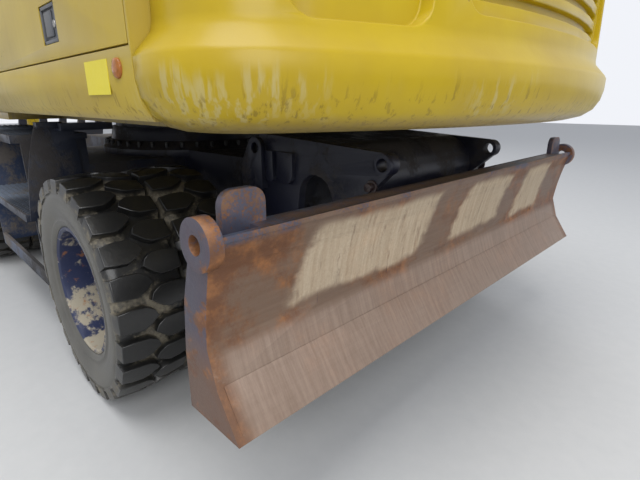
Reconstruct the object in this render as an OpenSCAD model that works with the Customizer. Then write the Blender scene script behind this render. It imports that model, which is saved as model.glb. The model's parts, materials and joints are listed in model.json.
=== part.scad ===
// Wheeled excavator with a rear blade, parked with its bucket curled under the arm.
// Frame: X to the front, Y to the left, Z up, millimetres.

/* [Wheels and axles] */
// Distance from the slewing axis back to the rear axle
rear_axle_back = 1100; // [1050:10:1150]
// Distance from the slewing axis forward to the front axle
front_axle_ahead = 1500; // [1450:10:1560]
// Outer radius of a tyre over its lugs
tyre_r = 500; // [495:1:505]
// Width of one tyre
tyre_w = 285; // [275:1:290]
// Gap between the two tyres of a twin wheel
twin_gap = 15; // [10:1:30]
// Half of the width over the outer tyres
track_half = 1245; // [1240:1:1255]
// Radius of the rim where the tyre sits
rim_r = 285; // [275:1:290]
// Height of a tread lug above the carcass
lug_h = 32; // [20:1:36]
// Number of lugs in one row
lug_count = 24; // [16:1:24]
// Distance from the middle to a kingpin
kingpin_y = 560; // [555:1:570]

/* [Chassis] */
// Half width of the box girder
girder_half = 330; // [280:5:330]
// Top of the box girder
girder_top = 1000; // [980:5:1010]
// Top of the slewing ring
slew_z = 1200; // [1190:1:1205]
// Outer radius of the slewing ring
slew_r = 520; // [480:5:540]
// Inner face of the rear carrier plates
carrier_y = 400; // [380:5:420]
// Thickness of the rear carrier plates
carrier_t = 40; // [20:1:45]

/* [Blade] */
// Half width of the blade
blade_half = 1245; // [1200:1:1255]
// Length of the blade's arms
blade_arm_l = 600; // [580:5:620]
// Angle of the raised arms
blade_arm_rest = 28; // [24:1:28]
// Height between the lower and the upper arm
blade_arm_rise = 150; // [145:5:155]
// Thickness of the mouldboard
mould_t = 22; // [16:1:30]
// Outer radius of the eye at each top corner
eye_r = 65; // [55:1:70]
// Radius of the hole in that eye
eye_hole_r = 25; // [20:1:30]

/* [House] */
// Half width of the counterweight and the side doors
house_half = 1270; // [1260:1:1280]
// Distance from the slewing axis back to the counterweight's tail
tail_back = 2600; // [2560:5:2640]
// Seam between the counterweight and the side doors, behind the slewing axis
seam_back = 2040; // [2030:5:2050]
// Bottom of the counterweight
tail_bottom = 1215; // [1210:1:1225]
// Top of the counterweight and the house
house_top = 2150; // [2100:10:2200]
// Thickness of a side door
door_t = 38; // [30:1:42]

/* [Cab] */
// Inner side of the cab
cab_y0 = 345; // [340:1:360]
// Outer side of the cab
cab_y1 = 1255; // [1240:1:1258]
// Thickness of the cab's walls
cab_wall = 45; // [35:1:50]
// Top of the cab's roof
cab_top = 3140; // [3100:10:3180]

/* [Working arm] */
// Length of the boom between its pins
boom_l = 5000; // [4950:10:5050]
// Angle of the boom's chord above the floor
boom_rest = 16.5; // [16:0.1:18]
// Half width of the boom's webs
boom_half = 190; // [180:1:195]
// Length of the arm between its pins
arm_l = 2450; // [2430:5:2460]
// Angle of the arm to the boom
arm_rest = -121.5; // [-122:0.5:-120]
// Half width of the arm
arm_half = 125; // [115:1:125]
// Length of the rocker and distance of the bucket's two pins
rocker_l = 400; // [395:1:405]
// Length of the bucket link and distance of the rocker's pin from the bucket's
link_l = 420; // [415:1:430]
// Angle of the rocker to the arm with the bucket curled
rocker_rest = 27; // [26:0.5:30]
// Half width of the bucket
bucket_half = 475; // [450:5:500]
// Number of bucket teeth
tooth_count = 5; // [3:1:6]

/* [Hidden] */
$fn = 48;

// Colours
chassis_blue = [0.07, 0.09, 0.2];
body_yellow = [0.82, 0.66, 0.06];
blade_rust = [0.36, 0.24, 0.17];
rubber_black = [0.06, 0.06, 0.06];
rim_blue = [0.25, 0.32, 0.45];
steel_grey = [0.5, 0.5, 0.5];
chrome_grey = [0.75, 0.76, 0.78];
dark_grey = [0.13, 0.13, 0.14];
glass_tint = [0.55, 0.65, 0.65, 0.4];
lamp_amber = [0.9, 0.4, 0.08];

// Clearances
seat_gap = 0.3;
pin_gap = 0.3;
move_gap = 5;
bore_gap = 1;

// The middle of the whole machine's length, ahead of the slewing axis
box_middle_x = 1425;

// Wheels
rear_x = -rear_axle_back;
front_x = front_axle_ahead;
outer_y = track_half - tyre_w / 2;
inner_y = outer_y - tyre_w - twin_gap;
twin_inner_face = inner_y - tyre_w / 2;
lug_root_r = tyre_r - lug_h;
bead_sides = 36;
wheel_disc_y = outer_y - 140;
hub_face_y = outer_y + 30;
spindle_r = 70;
spindle_end_y = wheel_disc_y + 30;
rim_t = 20;
disc_t = 20;
rim_half = tyre_w / 2 - 25;
knuckle_arm = 205;

// Chassis
girder_low = 560;
girder_high = 700;
carrier_out = carrier_y + carrier_t;
carrier_end_x = -2125;
tie_eye = [-1410, 1085];
tie_eye_r = 50;
// Hanging tabs outside the side plates: middle and half width
carrier_tabs = [[-1490, 28], [-1600, 52]];
carrier_boss_z = 1070;
carrier_top = 1150;
step_x0 = -490;
step_x1 = 640;
step_out = 1245;

// Blade linkage
blade_pivot_x = -1580;
blade_pivot_z = 470;
lug_inner = [190, 220];
lug_outer = [290, 320];
blade_arm_y = [225, 285];
blade_pin_r = 28;
blade_dx = -blade_arm_l * cos(blade_arm_rest);
blade_dz = blade_arm_l * sin(blade_arm_rest);
blade_pin_low = [blade_pivot_x + blade_dx, blade_pivot_z + blade_dz];
blade_pin_high = blade_pin_low + [0, blade_arm_rise];
blade_cyl_base = [-1540, 1060];
blade_cyl_eye = [-2080, 620];
blade_cyl_y = 130;
blade_cyl_r = 48;
blade_rod_r = 26;
blade_eye = [-2220, 980];
// How far the sheet is cut away round each eye, and how far inward
eye_relief_r = eye_hole_r + 14;
eye_relief_l = 120;

// Upper frame
deck_top = slew_z + 35;
deck_half = house_half - 70;
deck_rear_half = 950;
seam_x = -seam_back;
house_front_x = -300;
rail_top = deck_top + 110;
cab_floor = deck_top + 27;
cab_rear_x = -290;
boom_foot = [250, 1800];
boom_foot_r = 120;
foot_plate_y = [205, 245];
foot_pin_r = 50;
cyl_base = [820, 1450];
cyl_y = 272;
cyl_eye_half = 49;
cyl_base_pin_r = 38;
cyl_lugs = [[206, 219], [325, 340]];
cyl_barrel_r = 50.5;
cyl_rod_r = 36;

// Hinges of the doors
hinge_x = 500;
hinge_r = 7;
hinge_pin_r = 3.5;
hinge_out = 8;
cab_hinge = [hinge_x, cab_y1 + hinge_out];
hinge_levels = [1500, 2100, 2750];
house_hinge_levels = [1520, 1880];

// Boom, arm and bucket pins, seen from the left side
boom_eye = [1900, 560];
arm_cyl_base = [2450, 1010];
arm_tail_eye = [-480, 200];
bucket_cyl_base = [350, 400];
boom_tip = boom_foot + turn([boom_l, 0], boom_rest);
arm_world = boom_rest + arm_rest;
arm_tip = boom_tip + turn([arm_l, 0], arm_world);
rocker_world = arm_world + rocker_rest;
rocker_pin = arm_tip - turn([link_l, 0], arm_world);
link_pin = rocker_pin + turn([rocker_l, 0], rocker_world);
bucket_link_angle = -10;
bucket_world = rocker_world - bucket_link_angle;
arm_slot_half = 55;
arm_eye_half = 48;
arm_pin_r = 45;

function turn(p, a) = [p[0] * cos(a) - p[1] * sin(a), p[0] * sin(a) + p[1] * cos(a)];
function arc(cx, cy, r, a0, a1, n) =
    [for (i = [0:n]) [cx + r * cos(a0 + (a1 - a0) * i / n), cy + r * sin(a0 + (a1 - a0) * i / n)]];
function bend(p0, p1, p2, n) =
    [for (i = [0:n]) let (t = i / n) (1 - t) * (1 - t) * p0 + 2 * t * (1 - t) * p1 + t * t * p2];
function reversed(p) = [for (i = [len(p) - 1:-1:0]) p[i]];
function direction(p, q) = (q - p) / norm(q - p);
function tangent_at(p, i) = direction(p[max(i - 1, 0)], p[min(i + 1, len(p) - 1)]);
// A path moved sideways, to the right of its run, by d
function beside(p, d) =
    [for (i = [0:len(p) - 1]) let (t = tangent_at(p, i)) p[i] + d * [t[1], -t[0]]];
function raised(p, dz) = [for (q = p) q + [0, dz]];
function heading(p, q) = atan2(q[1] - p[1], q[0] - p[0]);

// A flat outline in X and Z, thick from y0 to y1
module slab(y0, y1) {
    translate([0, y1, 0])
        rotate([90, 0, 0])
            linear_extrude(height = y1 - y0)
                children();
}

// A flat outline in Y and Z, thick from x0 to x1
module bulkhead(x0, x1) {
    translate([x0, 0, 0])
        rotate([90, 0, 90])
            linear_extrude(height = x1 - x0)
                children();
}

module pin(p, r, y0, y1) {
    translate([p[0], y1, p[1]])
        rotate([90, 0, 0])
            cylinder(h = y1 - y0, r = r);
}

module block(x, y, z) {
    translate([x[0], y[0], z[0]])
        cube([x[1] - x[0], y[1] - y[0], z[1] - z[0]]);
}

module both_sides() {
    children();
    mirror([0, 1, 0])
        children();
}

// Stands children, drawn along +X, at p and turns them up by a
module along_arm(p, a) {
    translate([p[0], 0, p[1]])
        rotate([0, -a, 0])
            children();
}

// A round bar between two points in space
module bar(p, q, r) {
    v = q - p;
    translate(p)
        rotate([0, acos(v[2] / norm(v)), atan2(v[1], v[0])])
            cylinder(h = norm(v), r = r);
}

// A bent tube through a list of points
module tube_run(points, r) {
    for (i = [0:len(points) - 2])
        bar(points[i], points[i + 1], r);
    for (i = [1:len(points) - 2])
        translate(points[i])
            sphere(r = r + 1);
}

// A cylinder's barrel along +X from its base pin, open towards the rod
module barrel(l, r, rod_r, eye_r, eye_half, pin_r) {
    difference() {
        union() {
            rotate([0, 90, 0])
                cylinder(h = l, r = r);
            pin([0, 0], eye_r, -eye_half, eye_half);
            translate([l - 60, 0, 0])
                rotate([0, 90, 0])
                    cylinder(h = 60, r = r + 8);
        }
        translate([eye_r + 40, 0, 0])
            rotate([0, 90, 0])
                cylinder(h = l, r = rod_r + bore_gap);
        pin([0, 0], pin_r + pin_gap, -r - 60, r + 60);
    }
}

// A cylinder's rod along +X, with its eye at the distance reach
module rod(reach, l, rod_r, eye_r, eye_half) {
    translate([reach - l, 0, 0])
        rotate([0, 90, 0])
            cylinder(h = l, r = rod_r);
    pin([reach, 0], eye_r, -eye_half, eye_half);
}

// Chassis

module chassis_frame() {
    color(chassis_blue)
    difference() {
        union() {
            slab(-girder_half, girder_half)
                polygon([
                    [-1500, girder_high], [-760, girder_high], [-640, girder_low],
                    [1000, girder_low], [1140, girder_high], [1950, girder_high],
                    [1950, 880], [1400, girder_top], [-1500, girder_top]
                ]);
            rotate_extrude()
                polygon([
                    [0, girder_top - 40], [620, girder_top - 40], [620, girder_top],
                    [560, girder_top + 50], [545, slew_z - 70], [slew_r, slew_z - 70],
                    [slew_r, slew_z], [0, slew_z]
                ]);
            rear_carrier();
            blade_lugs();
            block([1950, 1990], [-300, 300], [660, 880]);
        }
        both_sides() {
            pin([carrier_end_x, carrier_boss_z], eye_hole_r, carrier_y - 1, carrier_out + 16);
            pin(tie_eye, eye_hole_r, carrier_out + 10, carrier_out + 60);
        }
        for (dz = [0, blade_arm_rise])
            pin([blade_pivot_x, blade_pivot_z + dz], blade_pin_r + pin_gap, -360, 360);
    }
}

// Side plates behind the girder, with a rolled sheet between them
module rear_carrier() {
    block([-1500, -1400], [-carrier_out, carrier_out], [700, girder_top]);
    both_sides() {
        slab(carrier_y, carrier_out)
            polygon(concat(
                [[-1400, 700], [-1400, carrier_top], [carrier_end_x + 6, carrier_boss_z + 42]],
                arc(carrier_end_x, carrier_boss_z, 42, 80, 250, 6),
                [[-2000, 900]], arc(-1770, 895, 100, 180, 0, 8), [[-1640, 700]]
            ));
        pin([carrier_end_x, carrier_boss_z], 40, carrier_out - 5, carrier_out + 14);
        slab(carrier_out + 14, carrier_out + 39)
            polygon(concat(
                [[-1300, 900], [-1300, 1000]], arc(tie_eye[0], tie_eye[1], tie_eye_r, 30, 180, 7),
                [[tie_eye[0] - tie_eye_r, 900]]
            ));
        block([tie_eye[0] - tie_eye_r, -1310], [carrier_out, carrier_out + 14], [900, 1000]);
        for (tab = carrier_tabs)
            slab(carrier_out, carrier_out + 22)
                polygon(concat(
                    [[tab[0] + tab[1], 1076], [tab[0] - tab[1], 1076]],
                    arc(tab[0], 935 + tab[1], tab[1], 180, 360, 8)
                ));
    }
    rolled_cover();
}

// The sheet between the side plates: grooved across its top, rolled down behind the blade
module rolled_cover() {
    top = [-1400, carrier_top - 4];
    roll = [-1890, carrier_top - 174];
    run = concat([top], arc(roll[0], roll[1], 150, 90, 200, 12));
    fall = (top[1] - run[1][1]) / (top[0] - run[1][0]);
    difference() {
        slab(-carrier_y, carrier_y)
            polygon(concat(run, reversed(beside(run, -12))));
        for (x = [-1850:45:-1445])
            slab(-carrier_y + 15, carrier_y - 15)
                translate([x, top[1] + (x - top[0]) * fall])
                    square([10, 10], center = true);
    }
}

// Plates behind the girder that carry the blade's arms and the cylinders' bases
module blade_lugs() {
    both_sides()
        for (y = [lug_inner, lug_outer])
            slab(y[0], y[1])
                polygon(concat(
                    [[-1500, 400], [-1500, 800]],
                    arc(blade_pivot_x, blade_pivot_z + blade_arm_rise, 50, 90, 180, 5),
                    arc(blade_pivot_x, blade_pivot_z, 50, 180, 270, 5)
                ));
    block([-1500, -1440], [-girder_half, girder_half], [400, girder_high + 10]);
    both_sides()
        for (dy = [-60, 60])
            slab(blade_cyl_y + dy - 8, blade_cyl_y + dy + 8)
                polygon(concat(
                    [[-1400, 990], [-1400, 1110]],
                    arc(blade_cyl_base[0], blade_cyl_base[1], 50, 80, 240, 8), [[-1495, 990]]
                ));
    both_sides()
        pin(blade_cyl_base, blade_pin_r, blade_cyl_y - 68, blade_cyl_y + 68);
}

// Axle tubes with a round differential housing
module axle_beam(half, tube_r) {
    rotate([90, 0, 0])
        rotate_extrude()
            polygon([
                [0, -half], [tube_r + 20, -half], [tube_r + 20, -half + 40], [tube_r, -half + 60],
                [tube_r, -230], [150, -140], [185, -70], [185, 70], [150, 140], [tube_r, 230],
                [tube_r, half - 60], [tube_r + 20, half - 40], [tube_r + 20, half], [0, half]
            ]);
}

module rear_axle() {
    color(chassis_blue)
    translate([rear_x, 0, tyre_r]) {
        axle_beam(twin_inner_face - 20, 85);
        both_sides() {
            pin([0, 0], 150, twin_inner_face - 20, wheel_disc_y - disc_t - move_gap);
            // The shaft starts inside the beam, so it carries the hub at any track
            pin([0, 0], spindle_r, twin_inner_face - 60, spindle_end_y);
            block([-110, 110], [200, 300], [60, girder_high - tyre_r]);
        }
    }
}

module front_axle() {
    color(chassis_blue)
    translate([front_x, 0, tyre_r]) {
        axle_beam(420, 80);
        both_sides()
            difference() {
                union() {
                    for (s = [-1, 1])
                        slab(390, kingpin_y)
                            polygon([
                                [-60, s * 100], [60, s * 100], [60, s * 145], [-60, s * 145]
                            ]);
                    for (s = [-1, 1])
                        translate([0, kingpin_y, s * 122.5 - 22.5])
                            cylinder(h = 45, r = 60);
                    block([-60, 60], [390, 430], [-145, 145]);
                }
                translate([0, kingpin_y, -200])
                    cylinder(h = 400, r = 32 + pin_gap);
            }
        slab(-110, 110)
            polygon([
                [-140, 120], [140, 120], [180, girder_high - tyre_r], [-180, girder_high - tyre_r]
            ]);
    }
}

// The left knuckle, at the front axle's left kingpin
module knuckle() {
    translate([front_x, kingpin_y, tyre_r]) {
        translate([0, 0, -145])
            cylinder(h = 290, r = 32);
        translate([0, 0, -95])
            cylinder(h = 190, r = 62);
        translate([0, -kingpin_y, 0]) {
            pin([0, 0], 90, kingpin_y, twin_inner_face + 60);
            pin([0, 0], 150, twin_inner_face + 40, wheel_disc_y - disc_t - move_gap);
            pin([0, 0], spindle_r, wheel_disc_y - 40, spindle_end_y);
        }
        linear_extrude(height = 25)
            polygon([
                [0, -40], [0, 40], [-knuckle_arm, 20], [-knuckle_arm - 45, -30], [-knuckle_arm, -80]
            ]);
    }
}

module knuckle_left() {
    color(chassis_blue)
    knuckle();
}

module knuckle_right() {
    color(chassis_blue)
    mirror([0, 1, 0])
        knuckle();
}

module steering_rod() {
    color(steel_grey)
    translate([front_x - knuckle_arm, 0, tyre_r + 25 + seat_gap]) {
        both_sides()
            translate([0, kingpin_y - 30, 0])
                cylinder(h = 66, r = 30);
        pin([0, 46], 18, -kingpin_y + 45, kingpin_y - 45);
    }
}

// Tyres

// One ring of lugs: a block, then a groove that narrows to its root
function lug_outline(phase) =
    [for (i = [0:lug_count - 1], k = [0:2])
        let (pitch = 360 / lug_count,
             a = phase + i * pitch + [-0.29, 0.29, 0.5][k] * pitch,
             r = [tyre_r, tyre_r, lug_root_r][k])
        [r * cos(a), r * sin(a)]];

// Two rings of lugs side by side, the second half a lug further round, on a bore with flat sides
module tyre(y) {
    bead_r = (rim_r + seat_gap) / cos(180 / bead_sides);
    translate([0, y, 0])
        rotate([90, 0, 0])
            difference() {
                for (row = [0, 1])
                    translate([0, 0, (row - 1) * tyre_w / 2])
                        linear_extrude(height = tyre_w / 2)
                            polygon(lug_outline(row * 180 / lug_count - 90));
                translate([0, 0, -tyre_w])
                    linear_extrude(height = 2 * tyre_w)
                        polygon(arc(0, 0, bead_r, 0, 360 - 360 / bead_sides, bead_sides - 1));
            }
}

module twin_tyres(x) {
    translate([x, 0, tyre_r])
        for (y = [inner_y, outer_y])
            tyre(y);
}

module tyres_rear_left() {
    color(rubber_black)
    twin_tyres(rear_x);
}

module tyres_rear_right() {
    color(rubber_black)
    mirror([0, 1, 0])
        twin_tyres(rear_x);
}

module tyres_front_left() {
    color(rubber_black)
    twin_tyres(front_x);
}

module tyres_front_right() {
    color(rubber_black)
    mirror([0, 1, 0])
        twin_tyres(front_x);
}

// Both rims of a twin wheel with the hub between them, as one turned body
module twin_wheel(x) {
    inner_disc_y = inner_y + rim_half;
    translate([x, 0, tyre_r])
        rotate([-90, 0, 0])
            difference() {
                union() {
                    for (y = [inner_y, outer_y])
                        rotate_extrude()
                            polygon([
                                [rim_r - rim_t, y - rim_half], [rim_r, y - rim_half],
                                [rim_r, y + rim_half], [rim_r - rim_t, y + rim_half]
                            ]);
                    rotate_extrude()
                        polygon([
                            [0, wheel_disc_y - disc_t], [rim_r - rim_t + 1, wheel_disc_y - disc_t],
                            [rim_r - rim_t + 1, wheel_disc_y + 24], [200, wheel_disc_y + 24],
                            [180, hub_face_y - 30], [130, hub_face_y], [0, hub_face_y]
                        ]);
                    rotate_extrude()
                        polygon([
                            [rim_r - rim_t - 1, inner_disc_y - 16], [rim_r - rim_t - 1, wheel_disc_y + 10],
                            [rim_r - rim_t + 12, wheel_disc_y + 10], [rim_r - rim_t + 12, inner_disc_y - 16]
                        ]);
                }
                translate([0, 0, wheel_disc_y - 30])
                    cylinder(h = spindle_end_y - wheel_disc_y + 32, r = spindle_r + pin_gap);
            }
}

module wheels_rear_left() {
    color(rim_blue)
    twin_wheel(rear_x);
}

module wheels_rear_right() {
    color(rim_blue)
    mirror([0, 1, 0])
        twin_wheel(rear_x);
}

module wheels_front_left() {
    color(rim_blue)
    twin_wheel(front_x);
}

module wheels_front_right() {
    color(rim_blue)
    mirror([0, 1, 0])
        twin_wheel(front_x);
}

module drive_line() {
    color(dark_grey) {
        block([150, 480], [-170, 170], [370, girder_low]);
        along_arm([150, tyre_r], 180)
            rotate([0, 90, 0])
                cylinder(h = 150 - rear_x - 186, r = 40);
        along_arm([480, tyre_r], 0)
            rotate([0, 90, 0])
                cylinder(h = front_x - 480 - 186, r = 40);
    }
}

// Tool boxes and steps between the axles
module step_boxes() {
    color(chassis_blue)
    both_sides() {
        block([step_x0 + 30, step_x1 - 30], [girder_half, 900], [640, 960]);
        for (z = [690, 1090])
            block([step_x0 + 30, step_x1], [900, step_out], [z, z + 40]);
        for (x = [step_x0 + 30, step_x1 - 12])
            slab(900, step_out - 40)
                polygon([[x, 340], [x + 12, 340], [x + 12, 1100], [x, 1100]]);
        block([step_x0 + 30, step_x1], [step_out - 60, step_out - 40], [320, 400]);
        bulkhead(step_x0, step_x0 + 8)
            polygon(concat(
                [[940, 700], [960, 1165]], bend([1140, 1165], [1205, 1000], [1232, 700], 6)
            ));
        block([step_x0, step_x0 + 60], [900, 960], [1100, 1130]);
        block([step_x0 - 10, step_x0 + 50], [1010, 1130], [1160, 1190]);
        block([step_x0 - 110, step_x0], [1000, 1050], [1150, 1160]);
        block([step_x0 - 110, step_x0 - 70], [800, 1050], [1150, 1186]);
    }
}

module head_lamps() {
    color(dark_grey)
    both_sides()
        block([1950, 2010], [302, 420], [700, 800]);
}

// Blade

// The mouldboard's front face from its top to its cutting edge
function mould_front() = concat(
    [[-2267, 995]],
    bend([-2264, 975], [-2222, 860], [-2209, 705], 6),
    [[-2243, 600]]
);

module blade() {
    front = mould_front();
    stiffener_y = [500, 850];
    stiffener_t = 14;
    color(blade_rust)
    difference() {
        union() {
            difference() {
                union() {
                    slab(-blade_half + 20, blade_half - 20)
                        polygon(concat(
                            front, [[-2243 + mould_t, 596]], reversed(beside(front, -mould_t))
                        ));
                    slab(-blade_half + 20, blade_half - 20)
                        polygon([[-2270, 985], [-2190, 985], [-2190, 1000], [-2270, 1000]]);
                }
                both_sides()
                    pin(blade_eye, eye_relief_r, blade_half - 24 - eye_relief_l, blade_half - 24);
            }
            slab(-blade_half + 20, blade_half - 20)
                polygon([[-2236, 600], [-2212, 600], [-2290, 480], [-2324, 480], [-2243, 606]]);
            slab(-blade_half + 20, blade_half - 20)
                polygon([[-2200, 580], [-2165, 580], [-2165, 790], [-2200, 820]]);
            both_sides() {
                slab(blade_half - 20, blade_half)
                    polygon(concat(
                        reversed(front), [[-2226, 1030], [-2156, 929], [-2117, 808], [-2098, 656],
                        [-2097, 480], [-2324, 480]]
                    ));
                pin(blade_eye, eye_r, blade_half - 24, blade_half + 14);
                for (y = stiffener_y)
                    slab(y, y + stiffener_t)
                        polygon([
                            [-2205, 580], [-2225, 990], [-2190, 990], [-2150, 930], [-2130, 700],
                            [-2160, 590]
                        ]);
                for (y = [lug_inner, lug_outer])
                    slab(y[0], y[1])
                        polygon(concat(
                            [[-2215, 580]],
                            arc(blade_pin_low[0], blade_pin_low[1], 50, -60, 0, 4),
                            arc(blade_pin_high[0], blade_pin_high[1], 50, 0, 90, 5),
                            [[-2200, 985]]
                        ));
                for (dy = [-60, 60])
                    slab(blade_cyl_y + dy - 8, blade_cyl_y + dy + 8)
                        polygon(concat(
                            [[-2190, 560], [-2190, 690]],
                            arc(blade_cyl_eye[0], blade_cyl_eye[1], 46, 60, -90, 6)
                        ));
                bulkhead(-2215, -2190)
                    polygon(concat(
                        [[1050, 985], [1180, 985]], arc(1140, 1050, 40, 0, 90, 5),
                        arc(1090, 1050, 40, 90, 180, 5)
                    ));
            }
        }
        both_sides()
            pin(blade_eye, eye_hole_r, blade_half - 60, blade_half + 30);
        for (p = [blade_pin_low, blade_pin_high])
            pin(p, blade_pin_r + pin_gap, -360, 360);
    }
}

// A pair of blade arms from the chassis to the blade, joined by a cross tube
module blade_arm_pair(pivot, tube_x) {
    along_arm(pivot, 180 - blade_arm_rest) {
        both_sides() {
            slab(blade_arm_y[0], blade_arm_y[1])
                polygon(concat(arc(0, 0, 48, 90, 270, 8), arc(blade_arm_l, 0, 44, -90, 90, 8)));
            pin([0, 0], blade_pin_r, lug_inner[0], lug_outer[1]);
            pin([blade_arm_l, 0], blade_pin_r, lug_inner[0], lug_outer[1]);
        }
        if (tube_x > 0)
            pin([tube_x, 0], 38, -blade_arm_y[0], blade_arm_y[0]);
    }
}

module blade_lower_arms() {
    color(chassis_blue)
    blade_arm_pair([blade_pivot_x, blade_pivot_z], 150);
}

module blade_upper_arms() {
    color(chassis_blue)
    blade_arm_pair([blade_pivot_x, blade_pivot_z + blade_arm_rise], 0);
}

blade_cyl_l = norm(blade_cyl_eye - blade_cyl_base);
blade_cyl_a = heading(blade_cyl_base, blade_cyl_eye);

module blade_barrels() {
    color(chassis_blue)
    both_sides()
        translate([0, blade_cyl_y, 0])
            along_arm(blade_cyl_base, blade_cyl_a)
                barrel(600, blade_cyl_r, blade_rod_r, 46, 46, blade_pin_r);
}

module blade_rods() {
    color(chrome_grey)
    both_sides()
        translate([0, blade_cyl_y, 0])
            along_arm(blade_cyl_base, blade_cyl_a)
                rod(blade_cyl_l, 600, blade_rod_r, 40, 46);
}

// Upper structure

module upper_frame() {
    color(body_yellow) {
        translate([0, 0, slew_z + seat_gap])
            linear_extrude(height = deck_top - slew_z - seat_gap)
                polygon([
                    [seam_x, -deck_rear_half], [house_front_x, -deck_rear_half],
                    [house_front_x, -deck_half], [900, -deck_half], [900, -cab_y0],
                    [1000, -cab_y0], [1000, cab_y0], [1380, cab_y0], [1380, deck_half],
                    [house_front_x, deck_half], [house_front_x, deck_rear_half],
                    [seam_x, deck_rear_half]
                ]);
        both_sides() {
            slab(foot_plate_y[0], foot_plate_y[1])
                polygon(concat(
                    [[seam_x, deck_top], [seam_x, rail_top], [-700, rail_top], [-350, 1600]],
                    arc(boom_foot[0], boom_foot[1], 130, 160, 20, 8),
                    [[560, 1500], [700, 1400], [700, deck_top]]
                ));
            for (y = cyl_lugs)
                slab(y[0], y[1])
                    polygon(concat(
                        [[700, deck_top], [740, 1440]],
                        arc(cyl_base[0], cyl_base[1], 78, 170, 10, 8),
                        [[980, deck_top]]
                    ));
            pin(cyl_base, cyl_base_pin_r, cyl_lugs[0][0], cyl_lugs[1][1]);
        }
        for (x = [-200, 1280], y = [430, deck_half - 70])
            translate([x, y, deck_top - 1])
                cylinder(h = cab_floor - deck_top + 1, r = 40);
        pin(boom_foot, foot_pin_r, -foot_plate_y[1] - 10, foot_plate_y[1] + 10);
    }
}

// Outline of the counterweight seen from above, drawn in by inset
corner_r = 290;
tail_curve_r = 2600;
corner_y = house_half - corner_r;
corner_a = asin(corner_y / (tail_curve_r - corner_r));
tail_centre_x = tail_curve_r - tail_back;
corner_x = tail_centre_x - (tail_curve_r - corner_r) * cos(corner_a);
function tail_outline(inset) = concat(
    [[seam_x, house_half - inset]],
    arc(corner_x, corner_y, corner_r - inset, 90, 180 - corner_a, 12),
    arc(tail_centre_x, 0, tail_curve_r - inset, 180 - corner_a * 0.9, 180 + corner_a * 0.9, 12),
    arc(corner_x, -corner_y, corner_r - inset, 180 + corner_a, 270, 12),
    [[seam_x, -house_half + inset]]
);

// Height of each level of the counterweight and how far it is drawn in there
tail_levels = [
    [tail_bottom, 115], [tail_bottom + 12, 70], [tail_bottom + 40, 30], [tail_bottom + 80, 8],
    [tail_bottom + 120, 0], [tail_bottom + 165, 0], [tail_bottom + 178, 8], [tail_bottom + 220, 46],
    [tail_bottom + 245, 52], [house_top - 110, 66], [house_top - 50, 84], [house_top - 12, 120],
    [house_top, 160]
];

module level_loft(levels) {
    n = len(tail_outline(0));
    m = len(levels);
    points = [for (v = levels, p = tail_outline(v[1])) [p[0], p[1], v[0]]];
    sides = [for (k = [0:m - 2], i = [0:n - 1], f = [0, 1])
        let (a = k * n + i, b = k * n + (i + 1) % n)
        f == 0 ? [a, b, b + n] : [a, b + n, a + n]];
    polyhedron(
        points = points,
        faces = concat([[for (i = [n - 1:-1:0]) i]], sides, [[for (i = [0:n - 1]) (m - 1) * n + i]])
    );
}

// Recesses in the counterweight's back: middle, half width, bottom, top and depth of each
side_recess = [880, 175, 1455, 1800, 90];
middle_recess = [0, 590, 1500, 1850, 80];
slot_levels = [1540:60:1800];
slot_h = 28;
slot_depth = 105;

// What a recess takes away: an outline seen from behind, down to the tail's outline at depth
module recess_cut(recess, z0, z1, round_r, depth) {
    a = recess[0] - recess[1];
    b = recess[0] + recess[1];
    difference() {
        bulkhead(-tail_back - 50, seam_x - 100)
            polygon(concat(
                arc(b - round_r, z1 - round_r, round_r, 0, 90, 5),
                arc(a + round_r, z1 - round_r, round_r, 90, 180, 5),
                arc(a + round_r, z0 + round_r, round_r, 180, 270, 5),
                arc(b - round_r, z0 + round_r, round_r, 270, 360, 5)
            ));
        translate([0, 0, z0 - 10])
            linear_extrude(height = z1 - z0 + 20)
                polygon(tail_outline(depth));
    }
}

module counterweight() {
    color(body_yellow)
    difference() {
        level_loft(tail_levels);
        both_sides()
            recess_cut(side_recess, side_recess[2], side_recess[3], 60, side_recess[4]);
        recess_cut(middle_recess, middle_recess[2], middle_recess[3], 60, middle_recess[4]);
        for (z = slot_levels)
            recess_cut([middle_recess[0], middle_recess[1] - 50], z, z + slot_h, 10, slot_depth);
    }
}

module engine_block() {
    color(dark_grey)
    block([-1650, -750], [-520, 520], [rail_top + seat_gap, 1950]);
}

// Side wall of the house seen from the front, from the skirt to the shoulder
shoulder_r_house = 100;
// Half width of the hood, and the half width between the house's walls with their overlap
hood_half = 875;
wall_in = house_half - door_t + 1;
function wall_section(inset) = concat(
    [[house_half - 38 - inset, 1240], [house_half - 12 - inset, 1275], [house_half - inset, 1330]],
    arc(house_half - shoulder_r_house, house_top - shoulder_r_house, shoulder_r_house - inset, 0, 90, 6),
    [[hood_half + 5, house_top - inset]]
);
door_x0 = -2030;
door_x1 = -420;
door_z0 = 1405;
door_z1 = 2030;
// Air slots of the right door
louvre_levels = [1540:50:1890];
louvre_h = 22;

house_hinge = [door_x1 + 5, house_half + hinge_out];
hood_axis = [house_front_x - 18, house_top + 66];

// A knuckle of the hood's hinge: the pin is on the house, the bore on the hood
module hood_hinge_half(y, half, bored) {
    difference() {
        pin(hood_axis, 12, y - half, y + half);
        if (bored)
            pin(hood_axis, 5 + pin_gap, y - half - 1, y + half + 1);
    }
    if (!bored)
        pin(hood_axis, 5, y - half - 60, y + half + 60);
}

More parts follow.
